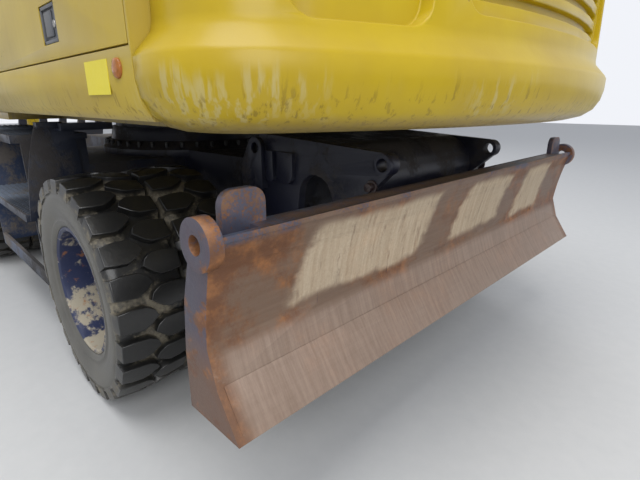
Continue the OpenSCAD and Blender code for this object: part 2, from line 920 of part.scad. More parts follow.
module house_shell() {
    color(body_yellow) {
        both_sides()
            difference() {
                bulkhead(seam_x, house_front_x)
                    polygon(concat(wall_section(0), reversed(wall_section(door_t))));
                block([door_x0, door_x1], [house_half - 100, house_half + 10], [door_z0, door_z1]);
            }
        both_sides()
            for (z = house_hinge_levels)
                hinge_half(house_hinge, z, [house_hinge[0], house_hinge[0] + 40],
                    [house_half - 3, house_half + hinge_out]);
        for (y = [-400, 400]) {
            hood_hinge_half(y, 30, false);
            block([house_front_x - 12, house_front_x - 6], [y - 30, y + 30], [2060, house_top + 66]);
        }
        for (x = [[seam_x, seam_x + 12], [house_front_x - 12, house_front_x]])
            difference() {
                bulkhead(x[0], x[1])
                    polygon([
                        [-wall_in + 33, deck_top], [wall_in - 33, deck_top], [wall_in, 1330],
                        [wall_in, house_top - 90], [wall_in - 53, house_top - 38],
                        [-wall_in + 53, house_top - 38], [-wall_in, house_top - 90], [-wall_in, 1330]
                    ]);
                block([x[0] - 5, x[1] + 5], [-280, 280], [deck_top - 5, 1700]);
            }
    }
}

module hood() {
    color(body_yellow)
        for (y = [-400, 400], s = [-1, 1]) {
            hood_hinge_half(y + s * (60 + seat_gap), 30, true);
            translate([0, y + s * (60 + seat_gap), 0])
                block([hood_axis[0] - 12, hood_axis[0] - 4], [-30, 30], [house_top + 20, house_top + 60]);
        }
    color(body_yellow)
    difference() {
        bulkhead(seam_x + 20, house_front_x - 20)
            polygon(concat(
                [[hood_half, house_top - 30], [hood_half, house_top + 5]],
                bend([hood_half - 15, house_top + 20], [500, house_top + 60], [0, house_top + 60], 4),
                bend([0, house_top + 60], [-500, house_top + 60], [15 - hood_half, house_top + 20], 4),
                [[-hood_half, house_top + 5], [-hood_half, house_top - 30]]
            ));
        block([seam_x + 50, house_front_x - 50], [30 - hood_half, hood_half - 30],
            [house_top - 40, house_top - 5]);
    }
}

// A side door with its latch pocket and a hinge knuckle along its front edge
module side_door(louvred) {
    difference() {
        block([door_x0 + move_gap, door_x1 - move_gap], [house_half - door_t, house_half],
            [door_z0 + move_gap, door_z1 - move_gap]);
        block([-1555, -1405], [house_half - 12, house_half + 5], [1453, 1562]);
        block([door_x0 + 60, -1620], [house_half - door_t - 1, house_half - 14], [1480, 1980]);
        block([-1340, door_x1 - 60], [house_half - door_t - 1, house_half - 14], [1480, 1980]);
        if (louvred)
            for (z = louvre_levels)
                block([-1240, door_x1 - 120], [house_half - 20, house_half + 5], [z, z + louvre_h]);
    }
    for (z = house_hinge_levels) {
        hinge_half(house_hinge, z + 40 + seat_gap, [house_hinge[0] - 50, house_hinge[0]],
            [house_half + 1, house_half + hinge_out], true);
        block([house_hinge[0] - 50, door_x1 - move_gap], [house_half - 3, house_half + 4],
            [z + 40 + seat_gap, z + 80 + seat_gap]);
    }
}

module door_left() {
    color(body_yellow)
    side_door(false);
}

module door_right() {
    color(body_yellow)
    mirror([0, 1, 0])
        side_door(true);
}

// Fuel tank and tool box on the right, ahead of the house
module tanks() {
    color(body_yellow) {
        slab(-1262, -360)
            polygon(concat(
                [[house_front_x + 2, deck_top], [house_front_x + 2, 2050]],
                bend([520, 2050], [640, 2040], [650, 1900], 5),
                [[650, 1560], [880, 1560], [895, 1540], [895, deck_top]]
            ));
        translate([100, -760, 2050])
            cylinder(h = 40, r = 60);
    }
}

module handrails() {
    color(dark_grey) {
        tube_run([[120, -deck_half, 2050 + seat_gap], [120, -deck_half, 2500],
            [480, -deck_half, 2500], [480, -deck_half, 2050 + seat_gap]], 18);
        tube_run([[-1700, -1120, house_top + seat_gap], [-1700, -1120, house_top + 300],
            [-400, -1120, house_top + 300], [-400, -1120, house_top + seat_gap]], 18);
        tube_run([[840, -1200, 1560 + seat_gap], [840, -1200, 2300], [840, -1100, 2350]], 14);
        block([825, 855], [-1240, -1020], [2300, 2620]);
    }
}

module lamps() {
    color(lamp_amber) {
        for (y = [480, 1120])
            translate([1080, y, cab_top + seat_gap])
                block([0, 70], [-50, 50], [0, 90]);
        translate([60, 800, cab_top + seat_gap])
            cylinder(h = 130, r = 55);
    }
}

module exhaust_stack() {
    color(dark_grey)
    translate([-900, -1000, house_top + seat_gap]) {
        difference() {
            cylinder(h = 300, r = 50);
            translate([0, 0, 20])
                cylinder(h = 300, r = 42);
        }
    }
}

// Cab

function cab_side(inset) = concat(
    [[cab_rear_x + inset, cab_floor + inset], [cab_rear_x + inset, 2900]],
    bend([cab_rear_x + inset, 2900], [cab_rear_x + inset, cab_top - inset],
        [-60, cab_top - inset], 5),
    bend([1160, cab_top - inset], [1290 - inset, cab_top - inset],
        [1305 - inset, 3010], 5),
    [[1440 - inset, 2000], [1400 - inset, cab_floor + inset]]
);
function door_line(inset) = [
    [hinge_x + inset, 1330 + inset], [hinge_x + inset, 2970 - inset], [1255 - inset, 2970 - inset],
    [1388 - inset, 2000], [1360 - inset, 1330 + inset]
];

// Window openings; inset draws a pane's outline in from its opening
function side_window(inset) = [
    [-215 + inset, 2000 + inset], [-215 + inset, 2950 - inset], [430 - inset, 2950 - inset],
    [430 - inset, 2000 + inset]
];
function right_window(inset) = [
    [-215 + inset, 2000 + inset], [-215 + inset, 2950 - inset], [1225 - inset, 2950 - inset],
    [1355 - inset, 2000], [1330 - inset, 1700 + inset], [300 + inset, 1700 + inset],
    [300 + inset, 2000 + inset]
];
function door_window(inset) = [
    [580 + inset, 1780 + inset], [580 + inset, 2900 - inset], [1195 - inset, 2900 - inset],
    [1312 - inset, 2000], [1305 - inset, 1780 + inset]
];
function door_low_window(inset) = [
    [620 + inset, 1420 + inset], [620 + inset, 1700 - inset], [1280 - inset, 1700 - inset],
    [1270 - inset, 1420 + inset]
];
function wide_window(side, z0, z1, inset) = [
    [cab_y0 + side + inset, z0 + inset], [cab_y0 + side + inset, z1 - inset],
    [cab_y1 - side - inset, z1 - inset], [cab_y1 - side - inset, z0 + inset]
];
rear_window = [90, 2150, 2880];
front_window = [70, 1880, 2990];
low_window = [90, 1380, 1800];
// The windscreen's slope: where its pane starts at the foot, the bend and the top
screen_run = [[1411, 1880], [1414, 2000], [1290, 2990]];
pane_t = 6;

module cab_shell() {
    color(body_yellow)
    difference() {
        slab(cab_y0, cab_y1)
            polygon(cab_side(0));
        slab(cab_y0 + cab_wall, cab_y1 - cab_wall)
            polygon(cab_side(cab_wall));
        slab(cab_y1 - cab_wall - 1, cab_y1 + 1)
            polygon(door_line(0));
        slab(cab_y1 - cab_wall - 1, cab_y1 + 1)
            polygon(side_window(0));
        slab(cab_y0 - 1, cab_y0 + cab_wall + 1)
            polygon(right_window(0));
        bulkhead(cab_rear_x - 1, cab_rear_x + cab_wall + 30)
            polygon(wide_window(rear_window[0], rear_window[1], rear_window[2], 0));
        bulkhead(1150, 1500)
            polygon(wide_window(front_window[0], front_window[1], front_window[2], 0));
        bulkhead(1300, 1500)
            polygon(wide_window(low_window[0], low_window[1], low_window[2], 0));
        block([450, 1050], [cab_y0 + 130, cab_y1 - 130], [cab_top - 80, cab_top + 10]);
    }
    color(body_yellow)
        for (z = hinge_levels)
            hinge_half(cab_hinge, z, [hinge_x - 40, hinge_x], [cab_y1 - 3, cab_y1 + hinge_out]);
}

module cab_glass() {
    color(glass_tint) {
        slab(cab_y1 - 30, cab_y1 - 30 + pane_t)
            polygon(side_window(seat_gap));
        slab(cab_y0 + 24, cab_y0 + 24 + pane_t)
            polygon(right_window(seat_gap));
        bulkhead(cab_rear_x + 20, cab_rear_x + 20 + pane_t)
            polygon(wide_window(rear_window[0], rear_window[1], rear_window[2], seat_gap));
        slab(cab_y0 + front_window[0] + seat_gap, cab_y1 - front_window[0] - seat_gap)
            polygon([
                screen_run[0] + [0, seat_gap], screen_run[1], screen_run[2] - [0, seat_gap],
                screen_run[2] + [pane_t, -seat_gap], screen_run[1] + [pane_t, 0],
                screen_run[0] + [pane_t, seat_gap]
            ]);
        slab(cab_y0 + low_window[0] + seat_gap, cab_y1 - low_window[0] - seat_gap)
            polygon([
                [1390, low_window[2] - seat_gap], [1390 + pane_t, low_window[2] - seat_gap],
                [1380 + pane_t, low_window[1] + seat_gap], [1380, low_window[1] + seat_gap]
            ]);
        block([450 + seat_gap, 1050 - seat_gap], [cab_y0 + 130 + seat_gap, cab_y1 - 130 - seat_gap],
            [cab_top - 30, cab_top - 30 + pane_t]);
    }
}

// One half of an upright hinge at p: a knuckle round the pin, and the leaf that holds it
module hinge_half(p, z, leaf_x, leaf_y, bored = false) {
    difference() {
        union() {
            translate([p[0], p[1], z])
                cylinder(h = 40, r = hinge_r);
            block(leaf_x, leaf_y, [z, z + 40]);
        }
        if (bored)
            translate([p[0], p[1], z - 1])
                cylinder(h = 42, r = hinge_pin_r + pin_gap);
    }
    if (!bored)
        translate([p[0], p[1], z])
            cylinder(h = 78, r = hinge_pin_r);
}

module cab_door() {
    color(body_yellow)
    difference() {
        slab(cab_y1 - cab_wall, cab_y1)
            polygon(door_line(move_gap));
        slab(cab_y1 - cab_wall - 1, cab_y1 + 1)
            polygon(door_window(0));
        slab(cab_y1 - cab_wall - 1, cab_y1 + 1)
            polygon(door_low_window(0));
    }
    color(body_yellow)
        for (z = hinge_levels)
            hinge_half(cab_hinge, z + 40 + seat_gap, [hinge_x, hinge_x + 40],
                [cab_y1 - 3, cab_y1 + hinge_out], true);
}

module door_glass() {
    color(glass_tint) {
        slab(cab_y1 - 30, cab_y1 - 30 + pane_t)
            polygon(door_window(seat_gap));
        slab(cab_y1 - 30, cab_y1 - 30 + pane_t)
            polygon(door_low_window(seat_gap));
    }
}

module seat() {
    seat_y = (cab_y0 + cab_y1) / 2;
    color(dark_grey) {
        block([150, 550], [seat_y - 180, seat_y + 180], [cab_floor + cab_wall, 1620]);
        block([120, 640], [seat_y - 250, seat_y + 250], [1620, 1760]);
        slab(seat_y - 240, seat_y + 240)
            polygon([[60, 1760], [180, 1760], [60, 2420], [-60, 2420]]);
    }
}

module cab_controls() {
    seat_y = (cab_y0 + cab_y1) / 2;
    color(dark_grey) {
        for (s = [-1, 1])
            block([200, 700], [seat_y + s * 320 - 50, seat_y + s * 320 + 50],
                [cab_floor + cab_wall, 1880]);
        tube_run([[1140, seat_y, cab_floor + cab_wall + 20], [1080, seat_y, 1700], [940, seat_y, 2000]], 35);
        block([1080, 1200], [seat_y - 60, seat_y + 60], [cab_floor + cab_wall, cab_floor + cab_wall + 30]);
        translate([940, seat_y, 2000])
            rotate([0, -25, 0])
                rotate_extrude()
                    translate([190, 0])
                        circle(r = 16);
        translate([940, seat_y, 2000])
            rotate([0, -25, 0])
                block([-190, 190], [-20, 20], [-8, 8]);
    }
}

// Working arm

boom_top_run = concat([[-60, 115]], bend([1150, 750], [1650, 1090], [2500, 862], 10), [[4960, 108]]);
boom_low_run = concat([[60, -115]], bend([1250, 190], [1850, 470], [2700, 300], 10), [[4930, -100]]);
fork_x = boom_l - 400;
fork_y = 132;
boom_cyl_l = norm(boom_foot + turn(boom_eye, boom_rest) - cyl_base);
boom_cyl_a = heading(cyl_base, boom_foot + turn(boom_eye, boom_rest));

module boom() {
    color(body_yellow)
    along_arm(boom_foot, boom_rest)
    difference() {
        union() {
            slab(-boom_half, boom_half)
                polygon(concat(
                    arc(0, 0, boom_foot_r, 118, 298, 10), boom_low_run,
                    arc(boom_l, 0, 105, -110, 110, 10), reversed(boom_top_run)
                ));
            for (run = [boom_top_run, raised(boom_low_run, 14)])
                slab(-boom_half - 10, boom_half + 10)
                    polygon(concat(run, reversed(raised(run, -14))));
            pin([0, 0], boom_foot_r - 4, -foot_plate_y[0] + move_gap, foot_plate_y[0] - move_gap);
            both_sides() {
                pin(boom_eye, 85, boom_half, boom_half + 12);
                pin([boom_l, 0], 90, boom_half, boom_half + 12);
                slab(68, 98)
                    polygon(concat(
                        [[2250, 850]],
                        arc(arm_cyl_base[0], arm_cyl_base[1], 70, 130, 20, 8),
                        [[2640, 800]]
                    ));
            }
            pin(arm_cyl_base, arm_pin_r, -100, 100);
        }
        pin([0, 0], foot_pin_r + pin_gap, -260, 260);
        slab(-fork_y, fork_y)
            polygon([[fork_x, -300], [fork_x, 400], [boom_l + 200, 400], [boom_l + 200, -300]]);
    }
    color(body_yellow)
    along_arm(boom_foot, boom_rest)
        pin([boom_l, 0], arm_pin_r, -boom_half, boom_half);
}

module boom_barrels() {
    color(dark_grey)
    both_sides()
        translate([0, cyl_y, 0])
            along_arm(cyl_base, boom_cyl_a)
                barrel(1160, cyl_barrel_r, cyl_rod_r, 72, cyl_eye_half, cyl_base_pin_r);
}

module boom_rods() {
    color(chrome_grey)
    both_sides()
        translate([0, cyl_y, 0])
            along_arm(cyl_base, boom_cyl_a)
                rod(boom_cyl_l, 1150, cyl_rod_r, 72, cyl_eye_half);
}

arm_eye_in_boom = [boom_l, 0] + turn(arm_tail_eye, arm_rest);
arm_cyl_l = norm(arm_eye_in_boom - arm_cyl_base);
arm_cyl_a = heading(arm_cyl_base, arm_eye_in_boom);

module arm_barrel() {
    color(dark_grey)
    along_arm(boom_foot, boom_rest)
        along_arm(arm_cyl_base, arm_cyl_a)
            barrel(2080, 62, 42, 62, arm_eye_half, arm_pin_r);
}

module arm_rod() {
    color(chrome_grey)
    along_arm(boom_foot, boom_rest)
        along_arm(arm_cyl_base, arm_cyl_a)
            rod(arm_cyl_l, 1500, 42, 62, arm_eye_half);
}

module arm() {
    color(body_yellow)
    along_arm(boom_tip, arm_world)
    difference() {
        union() {
            slab(-arm_half, arm_half)
                polygon(concat(
                    arc(arm_tail_eye[0], arm_tail_eye[1], 90, 100, 250, 8),
                    [[-120, -130]], bend([-60, -165], [80, -200], [300, -185], 4),
                    [[2050, -95]], arc(arm_l, 0, 85, -90, 90, 8), [[1450, 95]],
                    bend([560, 280], [350, 330], [0, 330], 4)
                ));
            pin([arm_l, 0], 80, -150, 150);
            both_sides()
                slab(60, 90)
                    polygon(concat(
                        [[150, 300]],
                        arc(bucket_cyl_base[0], bucket_cyl_base[1], 62, 140, 30, 8),
                        [[560, 260]]
                    ));
            pin(bucket_cyl_base, 36, -100, 100);
        }
        slab(-arm_slot_half, arm_slot_half)
            polygon([[-700, -60], [-230, -60], [-230, 500], [-700, 500]]);
        pin([0, 0], arm_pin_r + pin_gap, -200, 200);
        pin([arm_l, 0], 40 + pin_gap, -200, 200);
        pin([arm_l - link_l, 0], 36 + pin_gap, -200, 200);
    }
}

link_pin_in_arm = [arm_l - link_l, 0] + turn([rocker_l, 0], rocker_rest);
bucket_cyl_l = norm(link_pin_in_arm - bucket_cyl_base);
bucket_cyl_a = heading(bucket_cyl_base, link_pin_in_arm);

module bucket_barrel() {
    color(dark_grey)
    along_arm(boom_tip, arm_world)
        along_arm(bucket_cyl_base, bucket_cyl_a)
            barrel(1150, 55, 36, 55, arm_eye_half, 36);
}

module bucket_rod() {
    color(chrome_grey)
    along_arm(boom_tip, arm_world)
        along_arm(bucket_cyl_base, bucket_cyl_a)
            rod(bucket_cyl_l, 1120, 36, 52, 45);
}

module rocker_links() {
    color(body_yellow)
    along_arm(rocker_pin, rocker_world) {
        difference() {
            both_sides()
                slab(132, 160)
                    polygon(concat(arc(0, 0, 60, 90, 270, 8), arc(rocker_l, 0, 58, -90, 90, 8)));
            pin([rocker_l, 0], 34 + pin_gap, -200, 200);
        }
        pin([0, 0], 36, -160, 160);
    }
}

module bucket_link() {
    color(body_yellow)
    along_arm(link_pin, arm_world)
        difference() {
            union() {
                both_sides()
                    slab(50, 125)
                        polygon(concat(arc(0, 0, 56, 90, 270, 8), arc(link_l, 0, 56, -90, 90, 8)));
                slab(-50, 50)
                    polygon([[210, -40], [link_l - 60, -40], [link_l - 60, 40], [210, 40]]);
                both_sides()
                    pin([0, 0], 34, 125, 170);
            }
            pin([link_l, 0], 36 + pin_gap, -200, 200);
        }
}

bucket_shell_t = 25;
bucket_edge = [-560, -1085];
bucket_shell_run = concat(
    [[-150, -150], [300, -165]],
    bend([380, -170], [560, -190], [560, -480], 5),
    bend([560, -560], [560, -1040], [40, -1072], 7),
    [bucket_edge]
);

module bucket() {
    link_eye = turn([rocker_l, 0], bucket_link_angle);
    color(dark_grey)
    along_arm(arm_tip, bucket_world) {
        difference() {
            slab(-bucket_half, bucket_half)
                polygon(bucket_shell_run);
            slab(-bucket_half + bucket_shell_t, bucket_half - bucket_shell_t)
                polygon(concat(
                    [[-600, -150 - bucket_shell_t]], beside(bucket_shell_run, bucket_shell_t), [[-900, -1060]]
                ));
        }
        for (i = [0:tooth_count - 1])
            translate([0, (i / (tooth_count - 1) - 0.5) * 2 * (bucket_half - 45), 0])
                slab(-40, 40)
                    polygon([[-540, -1085], [-540, -1035], [-620, -1030], [-730, -1070], [-730, -1082]]);
        both_sides()
            slab(155, 195)
                polygon(concat(
                    arc(0, 0, 85, 80, 200, 8), [[-120, -160], [470, -185]],
                    arc(link_eye[0], link_eye[1], 70, -20, 90, 6)
                ));
        pin([0, 0], 40, -195, 195);
        pin(link_eye, 36, -195, 195);
    }
}

module in_place() {
    translate([-box_middle_x, 0, 0])
        children();
}

in_place() chassis_frame();
in_place() rear_axle();
in_place() front_axle();
in_place() drive_line();
in_place() step_boxes();
in_place() head_lamps();
in_place() blade();
in_place() blade_lower_arms();
in_place() blade_upper_arms();
in_place() blade_barrels();
in_place() blade_rods();
in_place() knuckle_left();
in_place() knuckle_right();
in_place() steering_rod();
in_place() tyres_rear_left();
in_place() tyres_rear_right();
in_place() tyres_front_left();
in_place() tyres_front_right();
in_place() wheels_rear_left();
in_place() wheels_rear_right();
in_place() wheels_front_left();
in_place() wheels_front_right();
in_place() upper_frame();
in_place() counterweight();
in_place() engine_block();
in_place() house_shell();
in_place() hood();
in_place() door_left();
in_place() door_right();
in_place() tanks();
in_place() handrails();
in_place() lamps();
in_place() exhaust_stack();
in_place() cab_shell();
in_place() cab_glass();
in_place() cab_door();
in_place() door_glass();
in_place() seat();
in_place() cab_controls();
in_place() boom();
in_place() boom_barrels();
in_place() boom_rods();
in_place() arm_barrel();
in_place() arm_rod();
in_place() arm();
in_place() bucket_barrel();
in_place() bucket_rod();
in_place() rocker_links();
in_place() bucket_link();
in_place() bucket();
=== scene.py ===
"""A wheeled excavator: the finishes, the shaped tyres, rims and trim around its CAD frame.

Lengths are metres in the frame of the CAD model: X to the front, Y to the left, Z up, the floor at
zero. place(x, y, z) counts x from the slewing axis, as the drawings of such machines do.
"""

import json
import math

import bmesh
import bpy
from mathutils import Matrix, Vector

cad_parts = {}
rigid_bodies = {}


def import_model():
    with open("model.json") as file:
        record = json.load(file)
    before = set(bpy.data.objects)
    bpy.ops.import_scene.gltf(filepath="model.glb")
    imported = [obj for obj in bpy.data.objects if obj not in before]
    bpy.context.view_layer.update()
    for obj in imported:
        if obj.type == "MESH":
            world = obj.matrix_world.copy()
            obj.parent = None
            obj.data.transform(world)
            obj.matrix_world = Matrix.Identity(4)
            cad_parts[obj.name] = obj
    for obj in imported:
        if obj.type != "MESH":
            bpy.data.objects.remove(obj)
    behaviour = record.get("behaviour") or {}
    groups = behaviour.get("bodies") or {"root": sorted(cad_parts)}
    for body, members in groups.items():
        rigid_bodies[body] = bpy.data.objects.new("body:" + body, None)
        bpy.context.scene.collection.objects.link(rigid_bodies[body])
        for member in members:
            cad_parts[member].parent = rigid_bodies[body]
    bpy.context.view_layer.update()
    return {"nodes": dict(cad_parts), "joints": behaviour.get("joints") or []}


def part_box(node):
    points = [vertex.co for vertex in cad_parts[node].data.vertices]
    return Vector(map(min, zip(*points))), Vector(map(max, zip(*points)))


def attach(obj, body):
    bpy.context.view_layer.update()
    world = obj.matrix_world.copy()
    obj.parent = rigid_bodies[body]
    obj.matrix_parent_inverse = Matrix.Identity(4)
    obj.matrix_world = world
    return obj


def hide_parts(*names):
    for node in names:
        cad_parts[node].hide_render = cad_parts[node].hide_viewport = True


ops = bpy.ops
for leftover in list(bpy.data.objects):
    bpy.data.objects.remove(leftover)
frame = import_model()
joints = {joint["name"]: joint for joint in frame["joints"]}
SLEW_X = joints["slew"]["pos_m"][0]


def place(x, y, z):
    return Vector((SLEW_X + x, y, z))


# Camera, solved from the edges of the blade and the counterweight
EYE = place(-3.063, 1.709, 1.284)
YAW = math.radians(-45.15)
PITCH = math.radians(17.62)
LENS_MM = 24.34
SENSOR_MM = 36.0


def make_camera():
    data = bpy.data.cameras.new("camera")
    data.sensor_width = SENSOR_MM
    data.lens = LENS_MM
    data.clip_end = 200
    camera = bpy.data.objects.new("camera", data)
    bpy.context.scene.collection.objects.link(camera)
    ahead = Vector(
        (math.cos(YAW) * math.cos(PITCH), math.sin(YAW) * math.cos(PITCH), -math.sin(PITCH))
    )
    camera.location = EYE
    camera.rotation_euler = ahead.to_track_quat("-Z", "Y").to_euler()
    bpy.context.scene.camera = camera


make_camera()


# Shader arithmetic


class Value:
    """A shader socket that takes part in plain arithmetic."""

    def __init__(self, finish, socket):
        self.finish = finish
        self.socket = socket

    def math(self, operation, *others, swap=False):
        terms = [self, *others]
        if swap:
            terms.reverse()
        settings = {"operation": operation}
        return self.finish.node("ShaderNodeMath", settings, dict(enumerate(terms)))

    def __add__(self, other):
        return self.math("ADD", other)

    def __sub__(self, other):
        return self.math("SUBTRACT", other)

    def __rsub__(self, other):
        return self.math("SUBTRACT", other, swap=True)

    def __mul__(self, other):
        return self.math("MULTIPLY", other)

    __radd__ = __add__
    __rmul__ = __mul__

    def __abs__(self):
        return self.math("ABSOLUTE")

    def most(self, other):
        return self.math("MAXIMUM", other)

    def least(self, other):
        return self.math("MINIMUM", other)

    def rise(self, low, high):
        """0 below low, 1 above high, smooth between; with low above high it falls."""
        settings = {"interpolation_type": "SMOOTHSTEP", "clamp": True}
        sockets = {"Value": self, "From Min": low, "From Max": high}
        return self.finish.node("ShaderNodeMapRange", settings, sockets)


class Finish:
    """A material: one Principled shader, with patterns that follow Object coordinates."""

    def __init__(self, name, **fixed):
        self.material = bpy.data.materials.new(name)
        self.material.use_nodes = True
        self.nodes = self.material.node_tree.nodes
        self.links = self.material.node_tree.links
        self.shader = self.nodes["Principled BSDF"]
        self.coords = self.node("ShaderNodeTexCoord", out="Object")
        self.set(**fixed)

    def feed(self, socket, value):
        if isinstance(value, Value):
            self.links.new(value.socket, socket)
        elif isinstance(value, (tuple, list)) and socket.type == "RGBA" and len(value) == 3:
            socket.default_value = (*value, 1)
        else:
            socket.default_value = value

    def node(self, kind, settings=None, sockets=None, out=0):
        node = self.nodes.new(kind)
        for key, value in (settings or {}).items():
            setattr(node, key, value)
        for key, value in (sockets or {}).items():
            self.feed(node.inputs[key], value)
        return Value(self, node.outputs[out])

    def set(self, **sockets):
        for key, value in sockets.items():
            name = key.replace("_", " ").title().replace("Ior", "IOR")
            self.feed(self.shader.inputs[name], value)

    def axis(self, letter):
        return self.node("ShaderNodeSeparateXYZ", sockets={"Vector": self.coords}, out=letter)

    def facing(self, letter):
        normal = self.node("ShaderNodeNewGeometry", out="Normal")
        return self.node("ShaderNodeSeparateXYZ", sockets={"Vector": normal}, out=letter)

    def noise(self, scale, detail=3, rough=0.55, stretch=(1, 1, 1), centre=(0, 0, 0)):
        spot = {"Vector": self.coords, "Scale": stretch, "Location": centre}
        vector = self.node("ShaderNodeMapping", sockets=spot)
        sockets = {"Vector": vector, "Scale": scale, "Detail": detail, "Roughness": rough}
        return self.node("ShaderNodeTexNoise", sockets=sockets)

    def streaks(self, stretch, detail=3, rough=0.6, centre=(0, 0, 0)):
        """Noise that is long where the stretch is low."""
        return self.noise(1, detail, rough, stretch, centre)

    def cells(self, scale):
        sockets = {"Vector": self.coords, "Scale": scale}
        return self.node("ShaderNodeTexVoronoi", sockets=sockets)

    def mix(self, below, above, mask):
        settings = {"data_type": "RGBA", "clamp_factor": True}
        sockets = {0: mask, 6: below, 7: above}
        return self.node("ShaderNodeMix", settings, sockets, out=2)

    def coats(self, colour, *coats):
        """Lays coats over a colour in turn, each a colour and its mask."""
        for coat, mask in coats:
            colour = self.mix(colour, coat, mask)
        return colour

    def done(self, colour, rough, height, depth):
        """Sets the colour, roughness and relief, and gives the material."""
        sockets = {"Height": height, "Distance": depth, "Strength": 1.0}
        normal = self.node("ShaderNodeBump", sockets=sockets)
        self.set(base_color=colour, roughness=rough, normal=normal)
        return self.material


# Finishes

DUST = (0.42, 0.36, 0.22)
# Dark brown for grime and painted shade under the skirt
GRIME_AND_SHADE = (0.24, 0.185, 0.10)
RUST = (0.13, 0.05, 0.018)
RUST_BRIGHT = (0.30, 0.12, 0.035)
MUD = (0.16, 0.13, 0.095)
DRY_MUD = (0.22, 0.185, 0.14)
# Near black, painted as shade on the chassis behind the blade
PAINTED_SHADE = (0.006, 0.006, 0.009)
NAVY = (0.010, 0.013, 0.045)
NAVY_WORN = (0.032, 0.040, 0.085)
BLUE = (0.030, 0.050, 0.100)
BLUE_WORN = (0.055, 0.085, 0.13)
YELLOW = (0.485, 0.345, 0.001)
YELLOW_FADED = (0.405, 0.275, 0.001)
PALE_DRIP = (0.48, 0.42, 0.22)
DARK_RUN = (0.17, 0.11, 0.01)
CREAM = (0.40, 0.35, 0.25)
# Mud left on the blade's face, from and to along Y
MUD_BANDS = ((0.30, 0.93), (-0.40, 0.02), (-0.93, -0.60))


def yellow_finish(name, dusty):
    """Yellow machine paint: fine orange peel, dust that gathers low down, streaks and chips."""
    paint = Finish(name, coat_weight=0.08, coat_roughness=0.2, specular_ior_level=0.3)
    z = paint.axis("Z")
    broad = paint.noise(1.7, 4, 0.6)
    fine = paint.noise(38, 3, 0.6)
    runs = paint.streaks((26, 26, 1.1), 4, 0.62)
    low = z.rise(1.62, 1.20)
    up = paint.facing("Z").rise(0.35, 0.95)
    film = (broad.rise(0.45, 0.8) * 0.12 + low * 0.07 + up * 0.12 + dusty) * (runs * 0.9 + 0.35)
    # Drips and dark runs hang from the skirt, each from a height of its own
    hung = z + (paint.streaks((16, 16, 0.5), centre=(5, 2, 0)) * 0.16 - 0.08)
    drips = paint.streaks((44, 44, 0.9), centre=(3.1, 1.7, 0.4)).rise(0.50, 0.62)
    patches = paint.noise(2.6, 2, 0.5, centre=(1, 6, 2)).rise(0.40, 0.60)
    streak = drips * patches * hung.rise(1.355, 1.31) * z.rise(0.9, 1.2)
    dark_run = paint.streaks((70, 70, 1.3), centre=(9, 4, 1)).rise(0.56, 0.66)
    # Grime and painted shade: a dark band along the skirt's underside and the deck below it
    underside_grime_and_shade = z.rise(1.262, 1.222) * z.rise(1.12, 1.2)
    chip = paint.cells(23).rise(0.075, 0.05) * paint.noise(2.3, 2).rise(0.62, 0.68)
    colour = paint.coats(
        YELLOW, (YELLOW_FADED, broad.rise(0.35, 0.7)), (DUST, film * 0.6),
        (PALE_DRIP, streak * 0.5), (DARK_RUN, dark_run * hung.rise(1.35, 1.25) * 0.6),
        (GRIME_AND_SHADE, underside_grime_and_shade * (fine * 0.6 + 0.35)), (RUST, chip),
    )
    rough = film * 0.4 + streak * 0.25 + up * 0.18 + 0.3
    return paint.done(colour, rough.least(0.85), fine * 0.4 + runs * 0.3 + chip * -1.0, 0.0007)


def chassis_finish(name, base, mud_amount):
    """Chassis paint under dried mud, rusty where it is bare, darkened near black behind the blade
    as painted shade.
    """
    paint = Finish(name, roughness=0.5)
    blotch = paint.noise(3.4, 5, 0.62)
    grain = paint.noise(60, 4, 0.65)
    up = paint.facing("Z").rise(0.2, 0.9)
    mud = (blotch + grain * 0.25 + up * 0.13).rise(0.74 - mud_amount, 0.88 - mud_amount)
    scrape = paint.noise(9, 5, 0.7, centre=(2, 5, 1)).rise(0.64, 0.70)
    # Painted shade: the chassis behind the blade, under the house, is darkened to near black
    shade_behind_blade = paint.axis("X").rise(-1.25, -1.5)
    colour = paint.coats(
        base, (paint.mix(base, NAVY_WORN, 0.5), grain), (RUST, scrape * 0.85),
        (paint.mix(MUD, DRY_MUD, grain), mud * 0.7), (PAINTED_SHADE, shade_behind_blade * (blotch * 0.4 + 0.55)),
    )
    rough = (mud * 0.45 + scrape * 0.3 + 0.42).least(0.92)
    return paint.done(colour, rough, mud * 0.8 + grain * 0.35 + scrape * -0.3, 0.0016)


